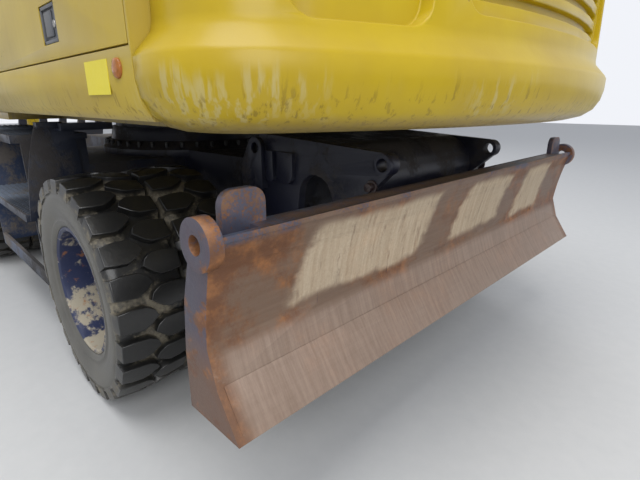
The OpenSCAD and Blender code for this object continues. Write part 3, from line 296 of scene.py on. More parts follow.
def blade_finish(name):
    """Bare blade: rust over a worn face, cream dried mud on its hollow, blue left at the rims."""
    skin = Finish(name, roughness=0.62)
    y, z = skin.axis("Y"), skin.axis("Z")
    grain = skin.noise(120, 4, 0.7)
    blotch = skin.noise(4.5, 5, 0.6)
    scratches = skin.streaks((3, 3.2, 90))
    drag = skin.streaks((10, 60, 3.5), 5, 0.7).rise(0.30, 0.70)
    waver = blotch * 0.10 - 0.05
    front = skin.facing("X").rise(-0.35, -0.6)
    back = skin.facing("X").rise(-0.2, 0.1)
    side = abs(skin.facing("Y")).rise(0.6, 0.9)
    steel = skin.mix((0.115, 0.066, 0.040), (0.200, 0.130, 0.086), scratches)
    rust = skin.mix(RUST, RUST_BRIGHT, skin.noise(14, 5, 0.7).rise(0.42, 0.72))
    # Dried mud keeps to the hollow of the face and leaves bands where it has fallen off
    hollow = (z + waver).rise(0.715, 0.745) * (z + waver * 0.5).rise(0.975, 0.94)
    slant = (z - 0.85) * 0.35
    bands = hollow * 0
    for low, high in MUD_BANDS:
        ragged = skin.streaks((4, 14, 26), 4, centre=(low, 3, 0)) * 0.09
        edge = skin.noise(2.4, 3, 0.6, centre=(low, 0, 0)) * 0.16 - 0.125 + ragged
        across = y + edge + slant
        band = across.rise(low - 0.03, low + 0.03) * across.rise(high + 0.03, high - 0.03)
        bands = bands.most(band)
    thin = skin.streaks((8, 34, 8), 5, 0.7, (2, 8, 3)).rise(0.28, 0.46)
    mud = hollow * bands * front * (grain * 0.4 + 0.62) * (thin * 0.75 + 0.25)
    pale = drag * 0.45 + grain * 0.3 + blotch * 0.3
    cream = skin.mix((0.40, 0.295, 0.185), (0.66, 0.56, 0.41), pale)
    # The lower flat is polished by the ground, brown where water stands
    flat = z.rise(0.70, 0.66) * front
    wear = drag * 0.32 + scratches * 0.25 + grain * 0.25 + blotch * 0.2
    worn = skin.mix((0.165, 0.108, 0.075), (0.43, 0.325, 0.255), wear)
    edge_rust = abs(y).rise(1.17, 1.235) * (blotch + grain * 0.3).rise(0.42, 0.62)
    rim = z.rise(0.965, 0.985).most(back)
    paint_left = rim * (blotch * 0.7 + grain * 0.5).rise(0.59, 0.70)
    # The end plates keep their paint high up and are brown below
    plate = skin.mix((0.135, 0.075, 0.050), BLUE, (z + waver).rise(0.60, 0.76) * 0.65)
    plate = skin.mix(plate, rust, skin.noise(11, 5, 0.7, centre=(6, 6, 1)).rise(0.52, 0.62))
    colour = skin.coats(
        steel, (rust, (blotch + grain * 0.2).rise(0.52, 0.72)), (cream, mud.least(1.0) * 0.93),
        (worn, flat * 0.8), (rust, edge_rust * 0.8),
        ((0.012, 0.013, 0.020), back * (blotch * 0.5 + 0.45)),
        (skin.mix(BLUE, BLUE_WORN, grain), paint_left * 0.8), (plate, side * 0.9),
    )
    skin.set(metallic=(scratches * 0.25 * flat).least(0.3))
    rough = (mud * 0.3 + grain * 0.2 + 0.42).least(0.95)
    relief = grain * 0.5 + mud * 1.3 + scratches * 0.25 + blotch * 0.3
    return skin.done(colour, rough, relief, 0.0018)


def bare_steel_finish(name, colour, rough, metal, grime):
    steel = Finish(name, metallic=metal)
    grain = steel.noise(45, 4, 0.65)
    stain = steel.noise(7, 4, 0.6).rise(0.5, 0.75) * grime
    colour = steel.mix(colour, (0.05, 0.04, 0.03), stain)
    return steel.done(colour, grain * 0.2 + stain * 0.4 + rough, grain, 0.0003)


def dark_finish(name, base, dusty):
    """Plain dark paint or plastic under a film of dust that lies on what faces up."""
    coat = Finish(name)
    grain = coat.noise(80, 3, 0.6)
    up = coat.facing("Z").rise(0.1, 0.9)
    film = (coat.noise(5, 4, 0.6).rise(0.42, 0.75) * 0.5 + up * 0.4) * dusty
    colour = coat.mix(base, (0.20, 0.18, 0.14), film)
    return coat.done(colour, film * 0.3 + grain * 0.15 + 0.38, grain, 0.0004)


def rubber_finish(name, axle_x, axle_z, low_r, high_r):
    """Tyre rubber around one axle: brown dust below the tread's top, darker on the lugs."""
    rubber = Finish(name)
    x = rubber.axis("X") - axle_x
    z = rubber.axis("Z") - axle_z
    radius = (x * x + z * z).math("SQRT")
    grain = rubber.noise(70, 4, 0.65)
    blotch = rubber.noise(6, 4, 0.6)
    groove = radius.rise(high_r, low_r) * radius.rise(low_r - 0.03, low_r - 0.018)
    cake = groove * (blotch + grain * 0.3).rise(0.60, 0.80)
    wall = radius.rise(low_r - 0.01, low_r - 0.03)
    film = wall * (blotch * 0.9 + 0.05) + rubber.axis("Z").rise(0.30, 0.02) * 0.25 + grain * 0.08
    colour = rubber.mix((0.0065, 0.0068, 0.0075), (0.150, 0.142, 0.120), film)
    dried = rubber.mix((0.12, 0.105, 0.08), CREAM, grain)
    colour = rubber.mix(colour, dried, cake * 0.70)
    rough = (film * 0.25 + cake * 0.5 + 0.29).least(0.9)
    return rubber.done(colour, rough, grain * 0.6 + blotch * 0.3, 0.0010)


def rim_finish(name, base, mud):
    """Blue wheel paint with cream mud in the dish and rust that runs from the bolts."""
    paint = Finish(name)
    grain = paint.noise(55, 4, 0.65)
    blotch = paint.noise(9, 5, 0.65)
    lower = paint.axis("Z").rise(0.58, 0.34)
    cake = (blotch + grain * 0.2 + lower * 0.11).rise(0.64 - mud, 0.74 - mud)
    rust = paint.noise(16, 5, 0.7, centre=(4, 1, 2)).rise(0.60, 0.68)
    colour = paint.mix(base, (0.42, 0.37, 0.27), cake * 0.85)
    colour = paint.mix(colour, RUST_BRIGHT, rust * 0.65)
    rough = (cake * 0.35 + rust * 0.2 + 0.42).least(0.9)
    return paint.done(colour, rough, cake * 0.7 + grain * 0.3, 0.0012)


def glass_finish(name):
    pane = Finish(
        name, base_color=(0.90, 0.95, 0.93), transmission_weight=0.95, ior=1.45, roughness=0.03
    )
    smear = pane.noise(3.0, 4, 0.6).rise(0.5, 0.8)
    pane.set(roughness=smear * 0.12 + 0.02)
    return pane.material


def lens_finish(name, colour, shine=0.6):
    lens = Finish(name, coat_weight=shine, coat_roughness=0.08, specular_ior_level=shine)
    facets = lens.cells(90)
    colour = lens.mix(colour, tuple(c * 0.6 for c in colour), facets)
    return lens.done(colour, facets * 0.1 + 0.12, facets, 0.0008)


def cloth_finish(name, base):
    cloth = Finish(name, sheen_weight=0.25, sheen_roughness=0.5)
    weave = cloth.streaks((900, 900, 240), 2, 0.5)
    fade = cloth.noise(6, 3, 0.6)
    colour = cloth.mix(base, tuple(c * 2.2 for c in base), weave * 0.6 + fade * 0.3)
    return cloth.done(colour, weave * 0.15 + 0.78, weave, 0.0006)


body_yellow = yellow_finish("yellow_paint", 0.0)
panel_yellow = yellow_finish("dusty_yellow_paint", 0.34)
chassis_blue = chassis_finish("chassis_blue_paint", NAVY, 0.10)
step_blue = chassis_finish("step_blue_paint", BLUE, 0.16)
blade_skin = blade_finish("worn_blade_steel")
chrome = bare_steel_finish("rod_chrome", (0.62, 0.63, 0.65), 0.06, 1.0, 0.25)
steel = bare_steel_finish("pin_steel", (0.34, 0.33, 0.31), 0.30, 0.9, 0.8)
bucket_steel = chassis_finish("bucket_steel", (0.035, 0.034, 0.035), 0.06)
dark_paint = dark_finish("dark_paint", (0.02, 0.02, 0.022), 0.7)
plastic = dark_finish("control_plastic", (0.022, 0.022, 0.025), 0.12)
gasket = dark_finish("gasket_rubber", (0.012, 0.012, 0.012), 0.35)
glass = glass_finish("cab_glass")
amber = lens_finish("amber_lens", (0.85, 0.22, 0.02))
clear_lens = lens_finish("clear_lens", (0.75, 0.78, 0.80))
orange_lens = lens_finish("orange_reflector", (0.42, 0.15, 0.035), 0.15)
cloth = cloth_finish("seat_cloth", (0.022, 0.023, 0.026))
plate_yellow = dark_finish("blank_plate", (0.72, 0.60, 0.01), 0.15)
latch_grey = dark_finish("latch_grey", (0.075, 0.080, 0.090), 0.35)
tread_steel = chassis_finish("tread_steel", (0.24, 0.29, 0.36), 0.04)
rusty_steel = chassis_finish("rusty_steel", (0.11, 0.045, 0.02), 0.12)
rim_blue = rim_finish("rim_blue_paint", (0.018, 0.026, 0.072), 0.0)
hub_blue = rim_finish("hub_muddy_paint", (0.11, 0.155, 0.28), 0.04)

NODE_FINISH = {
    chassis_blue: (
        "chassis_frame", "rear_axle", "front_axle", "drive_line", "blade_lower_arms",
        "blade_upper_arms", "blade_barrels", "knuckle_left", "knuckle_right",
    ),
    step_blue: ("step_boxes",),
    body_yellow: (
        "upper_frame", "counterweight", "hood", "boom", "arm", "rocker_links", "bucket_link",
        "cab_shell", "cab_door", "tanks",
    ),
    panel_yellow: ("house_shell", "door_left", "door_right"),
    blade_skin: ("blade",),
    chrome: ("blade_rods", "boom_rods", "arm_rod", "bucket_rod"),
    steel: ("steering_rod",),
    bucket_steel: ("bucket",),
    dark_paint: (
        "head_lamps", "engine_block", "handrails", "exhaust_stack", "boom_barrels", "arm_barrel",
        "bucket_barrel",
    ),
    amber: ("lamps",),
    glass: ("cab_glass", "door_glass"),
    cloth: ("seat",),
    plastic: ("cab_controls",),
}


def dress_nodes():
    """Gives each CAD node its finish, and breaks its sharp edges so that they catch light."""
    for finish, names in NODE_FINISH.items():
        for name in names:
            node = frame["nodes"][name]
            node.data.materials.clear()
            node.data.materials.append(finish)
            if finish is glass:
                continue
            node.modifiers.new("weld", "WELD").merge_threshold = 0.00002
            if name != "bucket":
                flat = node.modifiers.new("flatten", "DECIMATE")
                flat.decimate_type = "DISSOLVE"
                flat.angle_limit = math.radians(0.4)
            for face in node.data.polygons:
                face.use_smooth = True
            edge = node.modifiers.new("edge", "BEVEL")
            edge.width = 0.004
            edge.segments = 2
            edge.limit_method = "ANGLE"
            edge.angle_limit = math.radians(38)
            edge.harden_normals = True


dress_nodes()


# Modelling helpers


def rest_selection():
    if bpy.context.object and bpy.context.object.mode != "OBJECT":
        ops.object.mode_set(mode="OBJECT")
    ops.object.select_all(action="DESELECT")


def select(piece):
    rest_selection()
    piece.select_set(True)
    bpy.context.view_layer.objects.active = piece


def settle(name):
    """Names the new primitive and puts its place in its mesh."""
    piece = bpy.context.active_object
    piece.name = name
    ops.object.transform_apply(location=True, rotation=True, scale=True)
    return piece


def block(name, low, high):
    low, high = Vector(low), Vector(high)
    rest_selection()
    ops.mesh.primitive_cube_add(size=1, location=(low + high) / 2, scale=high - low)
    return settle(name)


def round_bar(name, start, end, radius, sides=32):
    start, end = Vector(start), Vector(end)
    run = end - start
    rest_selection()
    ops.mesh.primitive_cylinder_add(
        vertices=sides, radius=radius, depth=run.length, location=(start + end) / 2,
        rotation=run.to_track_quat("Z", "Y").to_euler(),
    )
    return settle(name)


def peg(name, x, z, y, out, radius, sides=32, inward=0.001):
    """A round bar along Y that is sunk inward of the face at y and stands out of it."""
    return round_bar(name, place(x, y - inward, z), place(x, y + out, z), radius, sides)


def edit(piece, kind, test):
    """Opens the piece with the parts of one kind that pass the test selected."""
    select(piece)
    ops.object.mode_set(mode="EDIT")
    ops.mesh.select_mode(type=kind)
    ops.mesh.select_all(action="DESELECT")
    mesh = bmesh.from_edit_mesh(piece.data)
    for part in mesh.verts if kind == "VERT" else mesh.edges:
        if test(part):
            part.select_set(True)
    mesh.select_flush_mode()
    bmesh.update_edit_mesh(piece.data)


def edit_all(piece):
    edit(piece, "VERT", lambda vert: True)


def close_up():
    """Turns all faces of the open piece outwards and closes it."""
    ops.mesh.select_all(action="SELECT")
    ops.mesh.normals_make_consistent(inside=False)
    rest_selection()


def sharp(least_deg=30):
    least = math.radians(least_deg)
    return lambda edge: edge.is_manifold and edge.calc_face_angle(0) > least


def soften(piece, width, segments=2, least_deg=30):
    edit(piece, "EDGE", sharp(least_deg))
    ops.mesh.bevel(offset=width, segments=segments, profile=0.5, affect="EDGES")
    rest_selection()
    return piece


def smooth(piece, angle_deg=35):
    select(piece)
    ops.object.shade_smooth_by_angle(angle=math.radians(angle_deg))
    return piece


def rounded_block(name, low, high, width, segments=3):
    return smooth(soften(block(name, low, high), width, segments))


def slab(name, low, high, width, segments=3):
    """A rounded block between two corners that are counted as place counts them."""
    return rounded_block(name, place(*low), place(*high), width, segments)


def outline(name, points, closed=True):
    """A polyline drawn from one corner of a plane by extruding its vertex from point to point."""
    rest_selection()
    ops.mesh.primitive_plane_add(size=0.1)
    piece = settle(name)
    edit_all(piece)
    ops.mesh.merge(type="CENTER")
    mesh = bmesh.from_edit_mesh(piece.data)
    mesh.verts.ensure_lookup_table()
    mesh.verts[0].co = points[0]
    bmesh.update_edit_mesh(piece.data)
    for near, far in zip(points, points[1:]):
        step = Vector(far) - Vector(near)
        ops.mesh.extrude_region_move(TRANSFORM_OT_translate={"value": step})
    if closed:
        ops.mesh.select_all(action="SELECT")
        ops.mesh.edge_face_add()
    rest_selection()
    return piece


def section(y, points):
    """Points of (x, z) in the upright plane at y."""
    return [place(x, y, z) for x, z in points]


def panel(name, points, thickness):
    """A closed outline, filled and pulled out by the vector thickness."""
    piece = outline(name, points)
    edit_all(piece)
    ops.mesh.extrude_region_move(TRANSFORM_OT_translate={"value": thickness})
    close_up()
    return piece


def lathe(name, profile, centre, steps, axis=(0, 1, 0)):
    """Turns a profile of (radius, distance along the axis) once round the axis through centre."""
    centre, axis = Vector(centre), Vector(axis)
    points = [centre + Vector((r, 0, 0)) + axis * along for r, along in profile]
    piece = outline(name, points, closed=False)
    edit_all(piece)
    ops.mesh.spin(steps=steps, angle=math.tau, center=centre, axis=axis)
    ops.mesh.select_all(action="SELECT")
    ops.mesh.remove_doubles(threshold=0.00005)
    close_up()
    return piece


def lathe_up(name, profile, centre, steps=40):
    """Turns a profile of (radius, height) once round the upright axis through centre."""
    return smooth(lathe(name, profile, centre, steps, (0, 0, 1)))


def ring_of(piece, count, centre=(0, 0, 0), axis=(0, 1, 0)):
    """Repeats the piece's mesh evenly round an axis."""
    edit_all(piece)
    turn = math.tau * (count - 1) / count
    ops.mesh.spin(steps=count - 1, angle=turn, dupli=True, center=centre, axis=axis)
    rest_selection()
    return piece


def apply_modifiers(piece):
    select(piece)
    for modifier in list(piece.modifiers):
        ops.object.modifier_apply(modifier=modifier.name)


def row_of(piece, count, step):
    """Repeats the piece's mesh along a straight line."""
    row = piece.modifiers.new("row", "ARRAY")
    row.count = count
    row.use_relative_offset = False
    row.use_constant_offset = True
    row.constant_offset_displace = step
    apply_modifiers(piece)
    return piece


def join(name, pieces):
    rest_selection()
    for piece in pieces:
        piece.select_set(True)
    bpy.context.view_layer.objects.active = pieces[0]
    ops.object.join()
    pieces[0].name = name
    return pieces[0]


def copy_piece(piece, name, matrix):
    """A copy with its own mesh, moved by matrix; a mirrored copy gets its faces turned outwards."""
    twin = piece.copy()
    twin.data = piece.data.copy()
    twin.name = name
    bpy.context.scene.collection.objects.link(twin)
    twin.data.transform(matrix)
    if matrix.determinant() < 0:
        twin.data.flip_normals()
    return twin


MIRROR = Matrix.Diagonal((1, -1, 1, 1))
SIDES = (("left", 1), ("right", -1))


def pipe(name, points, radius, corner=0.04):
    """A bent tube through points, its corners rounded."""
    data = bpy.data.curves.new(name, "CURVE")
    data.dimensions = "3D"
    data.bevel_depth = radius
    data.bevel_resolution = 4
    data.use_fill_caps = True
    spline = data.splines.new("POLY")
    path = [points[0]]
    for before, here, after in zip(points, points[1:], points[2:]):
        start = here + (before - here).normalized() * corner
        end = here + (after - here).normalized() * corner
        for i in range(7):
            t = i / 6
            path.append(start * (1 - t) ** 2 + here * 2 * t * (1 - t) + end * t * t)
    path.append(points[-1])
    spline.points.add(len(path) - 1)
    for point, at in zip(spline.points, path):
        point.co = (*at, 1)
    piece = bpy.data.objects.new(name, data)
    bpy.context.scene.collection.objects.link(piece)
    select(piece)
    ops.object.convert(target="MESH")
    ops.object.shade_smooth()
    return bpy.context.active_object


def fit(piece, finish, body, replaces=()):
    """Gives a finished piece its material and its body."""
    piece.data.materials.clear()
    piece.data.materials.append(finish)
    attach(piece, body)
    if replaces:
        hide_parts(*replaces)


def both_sides(piece, finish, body):
    """Fits the left piece and its mirrored twin, on one body or on a left and a right one."""
    left, right = (body, body) if isinstance(body, str) else body
    twin = copy_piece(piece, piece.name + "_right", MIRROR)
    piece.name += "_left"
    fit(piece, finish, left)
    fit(twin, finish, right)


# Tyres and rims

REAR_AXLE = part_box("tyres_rear_left")
TYRE_R = (REAR_AXLE[1].z - REAR_AXLE[0].z) / 2
TYRE_W = 0.285
RIM_R = 0.285
OUTER_Y = REAR_AXLE[1].y - TYRE_W / 2
INNER_Y = REAR_AXLE[0].y + TYRE_W / 2
AXLES = {
    "rear": joints["wheel_rear_left_spin"]["pos_m"],
    "front": joints["wheel_front_left_spin"]["pos_m"],
}
LUGS = 24
LUG_ROOT_R = TYRE_R - 0.034
CROWN_DROP = 0.010
FOOT_SPREAD = 1.14
TWIN_TURN = math.tau / LUGS * 0.37
SIDE_TURN = 0.05

# Half of the carcass up to its shoulder: height above the rim and distance from the tyre's middle
SIDE_WALL = [
    (0.001, 0.095), (0.003, 0.118), (0.014, 0.127), (0.030, 0.130), (0.036, 0.1265),
    (0.046, 0.1265), (0.060, 0.132), (0.085, 0.138), (0.115, 0.1415), (0.138, 0.1405),
    (0.143, 0.1375), (0.150, 0.1370), (0.158, 0.1400),
]
SHOULDER = [
    (LUG_ROOT_R - 0.018, 0.1370), (LUG_ROOT_R - 0.004, 0.122), (LUG_ROOT_R, 0.090),
]
CROWN = (LUG_ROOT_R + 0.002, 0.0)
# Outline of one lug: how far round as a share of the pitch, and how far in from the shoulder
LUG_OUTLINE = [
    (-0.30, 0.0), (-0.02, -0.0005), (0.30, 0.0), (0.345, 0.045), (0.36, 0.088), (0.25, 0.118),
    (0.03, 0.152), (-0.17, 0.140), (-0.33, 0.108), (-0.345, 0.060),
]


def round_axle(angle, y, radius):
    return Vector((radius * math.cos(angle), y, radius * math.sin(angle)))


def make_lug():
    """One block of the tread: a pointed plate that stands on the carcass and wraps its shoulder."""
    lug = outline("lug_row", [
        round_axle(math.tau / LUGS * share * FOOT_SPREAD, TYRE_W / 2 - inward, LUG_ROOT_R - 0.03)
        for share, inward in LUG_OUTLINE
    ])
    edit_all(lug)
    ops.mesh.extrude_region_move(TRANSFORM_OT_translate={"value": (0.0, 0.0, 0.0)})
    mesh = bmesh.from_edit_mesh(lug.data)
    for vert in [vert for vert in mesh.verts if vert.select]:
        angle = math.atan2(vert.co.z, vert.co.x) / FOOT_SPREAD
        inward = TYRE_W / 2 - vert.co.y
        across = min(1.0, inward / (TYRE_W / 2))
        radius = TYRE_R - CROWN_DROP * (1 - across) ** 2
        pulled = max(0.0, 0.012 - inward) * 0.5
        vert.co = round_axle(angle, vert.co.y - pulled, radius)
    bmesh.update_edit_mesh(lug.data)
    close_up()
    edit(lug, "EDGE", lambda edge: all(v.co.xz.length > TYRE_R - 0.02 for v in edge.verts))
    ops.mesh.bevel(offset=0.0038, segments=3, profile=0.6, affect="EDGES")
    rest_selection()
    return lug


def make_tyre():
    """One tyre at the origin, lying round the axis Y."""
    half = [(RIM_R + up, wide) for up, wide in SIDE_WALL] + SHOULDER
    profile = half + [CROWN] + [(r, -wide) for r, wide in reversed(half)]
    carcass = lathe("carcass", profile, (0, 0, 0), 96)
    left_row = ring_of(make_lug(), LUGS)
    half_pitch = Matrix.Rotation(math.pi / LUGS, 4, "Y")
    right_row = copy_piece(left_row, "right_row", half_pitch @ MIRROR)
    return smooth(join("tyre", [carcass, left_row, right_row]), 38)


def make_tyres():
    """A joined pair of tyres for each end of each axle, in place of the plain ones."""
    tyre = make_tyre()
    for axle, (x, _, z) in AXLES.items():
        rubber = rubber_finish("tyre_rubber_" + axle, x, z, LUG_ROOT_R - 0.004, TYRE_R - 0.012)
        for side, sign in SIDES:
            twins = []
            for y, turned in ((OUTER_Y, 0.0), (INNER_Y, TWIN_TURN)):
                turn = Matrix.Rotation(turned + SIDE_TURN * sign, 4, "Y")
                spot = Matrix.Translation((x, sign * y, z))
                twins.append(copy_piece(tyre, "twin", spot @ turn))
            pair = join(f"twin_tyres_{axle}_{side}", twins)
            replaced = [f"tyres_{axle}_{side}"]
            fit(pair, rubber, f"wheel_{axle}_{side}", replaced)
    bpy.data.objects.remove(tyre)


make_tyres()

HUB_FACE_Y = OUTER_Y + 0.030
DISC_Y = OUTER_Y - 0.140
RIM_HALF = TYRE_W / 2 - 0.025
RIM_BACK, RIM_FRONT = OUTER_Y - RIM_HALF, OUTER_Y + RIM_HALF
BOLTS = 10
BOLT_RING_R = 0.165

# The outer rim and the dish with the hub, as radius and distance along the axle
RIM_PROFILE = [
    (RIM_R - 0.021, RIM_BACK), (RIM_R - 0.001, RIM_BACK),
    (RIM_R - 0.001, RIM_FRONT - 0.004), (RIM_R + 0.0005, RIM_FRONT),
    (RIM_R - 0.010, RIM_FRONT + 0.004), (RIM_R - 0.019, RIM_FRONT - 0.004),
    (RIM_R - 0.022, RIM_FRONT - 0.022), (RIM_R - 0.020, OUTER_Y - 0.02),
    (RIM_R - 0.024, DISC_Y + 0.034), (RIM_R - 0.045, DISC_Y + 0.022),
    (0.215, DISC_Y + 0.023), (0.200, DISC_Y + 0.026), (0.196, DISC_Y + 0.040),
]
HUB_PROFILE = [
    (0.197, DISC_Y + 0.020), (0.196, DISC_Y + 0.058), (0.190, DISC_Y + 0.064),
    (0.140, DISC_Y + 0.066), (0.134, DISC_Y + 0.072), (0.122, HUB_FACE_Y - 0.030),
    (0.112, HUB_FACE_Y - 0.014), (0.096, HUB_FACE_Y - 0.006), (0.060, HUB_FACE_Y - 0.004),
    (0.056, HUB_FACE_Y - 0.001), (0.036, HUB_FACE_Y), (0.0, HUB_FACE_Y),
]


def make_bolts(name, ring_r, base_y, count, size, height):
    """A ring of hexagon heads on washers round the axle."""
    base = Vector((ring_r, base_y, 0))
    low, high = base - Vector((0, 0.002, 0)), base + Vector((0, 0.004, 0))
    washer = round_bar(name, low, high, size * 1.3, 20)
    head = round_bar(name + "_head", base, base + Vector((0, height, 0)), size, 6)
    soften(head, size * 0.12)
    return ring_of(join(name, [washer, head]), count)


def make_wheels():
    """Twin rims, and a dish with its hub and bolts, in place of each plain wheel."""
    rim = lathe("rim", RIM_PROFILE, (0, 0, 0), 80)
    spacer = lathe("spacer", [
        (RIM_R - 0.020, INNER_Y - RIM_HALF), (RIM_R - 0.001, INNER_Y - RIM_HALF),
        (RIM_R - 0.001, INNER_Y + RIM_HALF), (RIM_R - 0.018, INNER_Y + RIM_HALF),
        (RIM_R - 0.020, RIM_BACK - 0.004),
    ], (0, 0, 0), 80)
    edge_r = RIM_R - 0.0195
    back = lathe("rim_back", [
        (0.072, DISC_Y - 0.0195), (RIM_R - 0.028, DISC_Y - 0.0195), (edge_r, DISC_Y - 0.012),
        (edge_r, DISC_Y), (0.072, DISC_Y), (0.072, DISC_Y - 0.0195),
    ], (0, 0, 0), 80)
    rim = smooth(join("rim", [rim, spacer, back]))
    hub = lathe("hub", HUB_PROFILE, (0, 0, 0), 64)
    bolts = make_bolts("hub_bolts", BOLT_RING_R, DISC_Y + 0.066, BOLTS, 0.015, 0.020)
    small = make_bolts("cap_bolts", 0.078, HUB_FACE_Y - 0.005, 8, 0.006, 0.006)
    hub = smooth(join("hub", [hub, bolts, small]))
    for axle, (x, _, z) in AXLES.items():
        for side, sign in SIDES:
            spot = Matrix.Translation((x, 0, z)) @ Matrix.Diagonal((1, sign, 1, 1))
            for name, piece, finish in (("rims", rim, rim_blue), ("hub", hub, hub_blue)):
                copy = copy_piece(piece, f"{name}_{axle}_{side}", spot)
                fit(copy, finish, f"wheel_{axle}_{side}", [f"wheels_{axle}_{side}"])
    bpy.data.objects.remove(rim)
    bpy.data.objects.remove(hub)


make_wheels()


# Trim of the house

SIDE_DOORS = ("door_left", "door_right")
WALL_Y = 1.270
SIGN_LOW, SIGN_HIGH = (-1.893, 1.303), (-1.737, 1.386)
REFLECTOR_X, REFLECTOR_Z = -1.957, 1.361
LATCH_X = (-1.555, -1.405)
LATCH_Z = (1.453, 1.562)
LATCH_FLOOR = WALL_Y - 0.012
WIRE_R, MESH_STEP = 0.002, 0.02


def make_side_signs():
    """A round reflector and a blank plate, low on each side ahead of the seam."""
    lens = lathe("reflector", [
        (0.0235, WALL_Y - 0.001), (0.0235, WALL_Y + 0.004), (0.0215, WALL_Y + 0.0075),
        (0.014, WALL_Y + 0.0095), (0.0, WALL_Y + 0.0105),
    ], place(REFLECTOR_X, 0, REFLECTOR_Z), 40)
    both_sides(smooth(lens, 50), orange_lens, "upper")
    (x0, z0), (x1, z1) = SIGN_LOW, SIGN_HIGH
    sign = block("blank_sign", place(x0, WALL_Y - 0.0005, z0), place(x1, WALL_Y + 0.0012, z1))
    both_sides(sign, plate_yellow, "upper")


def latch_slab(name, insets, low_y, high_y, width):
    """A rounded plate in the latch pocket, set in from its rear, front, lower and upper edge."""
    rear, front, lower, upper = insets
    return slab(
        name, (LATCH_X[0] + rear, LATCH_FLOOR + low_y, LATCH_Z[0] + lower),
        (LATCH_X[1] - front, LATCH_FLOOR + high_y, LATCH_Z[1] - upper), width,
    )


def make_latches():
    """A grey housing, a paddle and a key barrel in the pocket of each side door."""
    tray = [latch_slab("tray", (0.004, 0.004, 0.004, 0.004), -0.001, 0.003, 0.001)]
    edge, bar = 0.002, 0.012
    wide, high = LATCH_X[1] - LATCH_X[0] - bar, LATCH_Z[1] - LATCH_Z[0] - bar
    for insets in (
        (edge, wide, edge, edge), (wide, edge, edge, edge),
        (edge, edge, edge, high), (edge, edge, high, edge),
    ):
        tray.append(latch_slab("tray_rim", insets, 0, 0.010, 0.0015))
    both_sides(join("latch_tray", tray), latch_grey, SIDE_DOORS)
    paddle = latch_slab("latch_paddle", (0.055, 0.030, 0.020, 0.018), 0.002, 0.009, 0.0035)
    both_sides(paddle, latch_grey, SIDE_DOORS)
    x, z = LATCH_X[0] + 0.036, 1.505
    key = soften(peg("key", x, z, LATCH_FLOOR, 0.008, 0.011, inward=0), 0.0015)
    slit = block(
        "slit", place(x - 0.0012, LATCH_FLOOR + 0.0075, z - 0.006),
        place(x + 0.0012, LATCH_FLOOR + 0.0086, z + 0.006),
    )
    both_sides(join("latch_key", [key, slit]), steel, SIDE_DOORS)


def make_hood_louvres():
    """Slats across the hood above the engine."""
    slat = panel("slat", section(-0.42, [
        (-1.62, 2.206), (-1.58, 2.222), (-1.575, 2.219), (-1.615, 2.203),
    ]), (0, 0.84, 0))
    fit(row_of(slat, 15, (0.052, 0, 0)), body_yellow, "hood")


def make_grille():
    """A fine mesh behind the right door's air slots."""
    uprights, crossing = place(-1.26, -1.2545, 1.52), place(-1.27, -1.252, 1.53)
    bar = round_bar("mesh_bar", uprights, uprights + Vector((0, 0, 0.41)), WIRE_R, 6)
    cross = round_bar("mesh_cross", crossing, crossing + Vector((0.74, 0, 0)), WIRE_R, 6)
    mesh = [row_of(bar, 37, (MESH_STEP, 0, 0)), row_of(cross, 20, (0, 0, MESH_STEP))]
    fit(join("door_mesh", mesh), dark_paint, "door_right")


make_side_signs()
make_latches()
make_hood_louvres()
make_grille()


# Work lamps, beacon and head lamps

LAMP_FOOT_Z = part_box("cab_shell")[1].z + 0.0003
BEACON_FOOT = [(0.0, 0.0), (0.055, 0.0), (0.055, 0.012), (0.048, 0.022), (0.0, 0.022)]
BEACON_DOME = [
    (0.0, 0.022), (0.047, 0.022), (0.048, 0.030), (0.046, 0.085), (0.040, 0.112), (0.026, 0.126),
    (0.0, 0.130),
]
HEAD_LAMP_X, HEAD_LAMP_Y, HEAD_LAMP_Z = 2.010, 0.361, 0.75


def make_work_lamp(name, y):
    """A round-cornered housing on a bracket, with a clear lens in a rim."""
    def part(x0, x1, half, low, high, width):
        corners = (x0, y - half, LAMP_FOOT_Z + low), (x1, y + half, LAMP_FOOT_Z + high)
        return slab(name, *corners, width)

    foot = part(1.095, 1.135, 0.02, 0, 0.02, 0.003)
    case = part(1.082, 1.142, 0.049, 0.015, 0.0895, 0.010)
    rim = part(1.138, 1.1485, 0.0495, 0.0145, 0.0897, 0.004)
    fit(join(name, [foot, case, rim]), dark_paint, "upper", ["lamps"])
    lens = part(1.146, 1.1505, 0.042, 0.022, 0.082, 0.002)
    lens.name = name + "_lens"
    fit(lens, clear_lens, "upper")


def make_beacon():
    spot = place(0.060, 0.800, 0)
    for name, finish, profile in (
        ("beacon_foot", dark_paint, BEACON_FOOT), ("beacon_dome", amber, BEACON_DOME),
    ):
        piece = lathe_up(name, [(r, LAMP_FOOT_Z + up) for r, up in profile], spot)
        fit(piece, finish, "upper", ["lamps"])


def head_lamp_disc(name, out, radius):
    start = place(HEAD_LAMP_X - 0.001, HEAD_LAMP_Y, HEAD_LAMP_Z)
    return round_bar(name, start, place(HEAD_LAMP_X + out, HEAD_LAMP_Y, HEAD_LAMP_Z), radius, 40)


def make_head_lamps():
    """A round clear lens and its ring on each head lamp's front."""
    lens = smooth(soften(head_lamp_disc("head_lens", 0.008, 0.040), 0.005, 3), 50)
    both_sides(lens, clear_lens, "chassis")
    ring = soften(head_lamp_disc("head_ring", 0.005, 0.046), 0.002)
    both_sides(ring, steel, "chassis")


make_work_lamp("work_lamp_left", 1.120)
make_work_lamp("work_lamp_right", 0.480)
make_beacon()
make_head_lamps()


# Cab: gaskets, handle, wiper and mirrors

CAB_OUT_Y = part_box("cab_shell")[1].y
CAB_IN_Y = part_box("cab_shell")[0].y
CAB_REAR_X = -0.290
REAR_PANE_EDGE = 0.09
GASKET_SUNK = 0.007
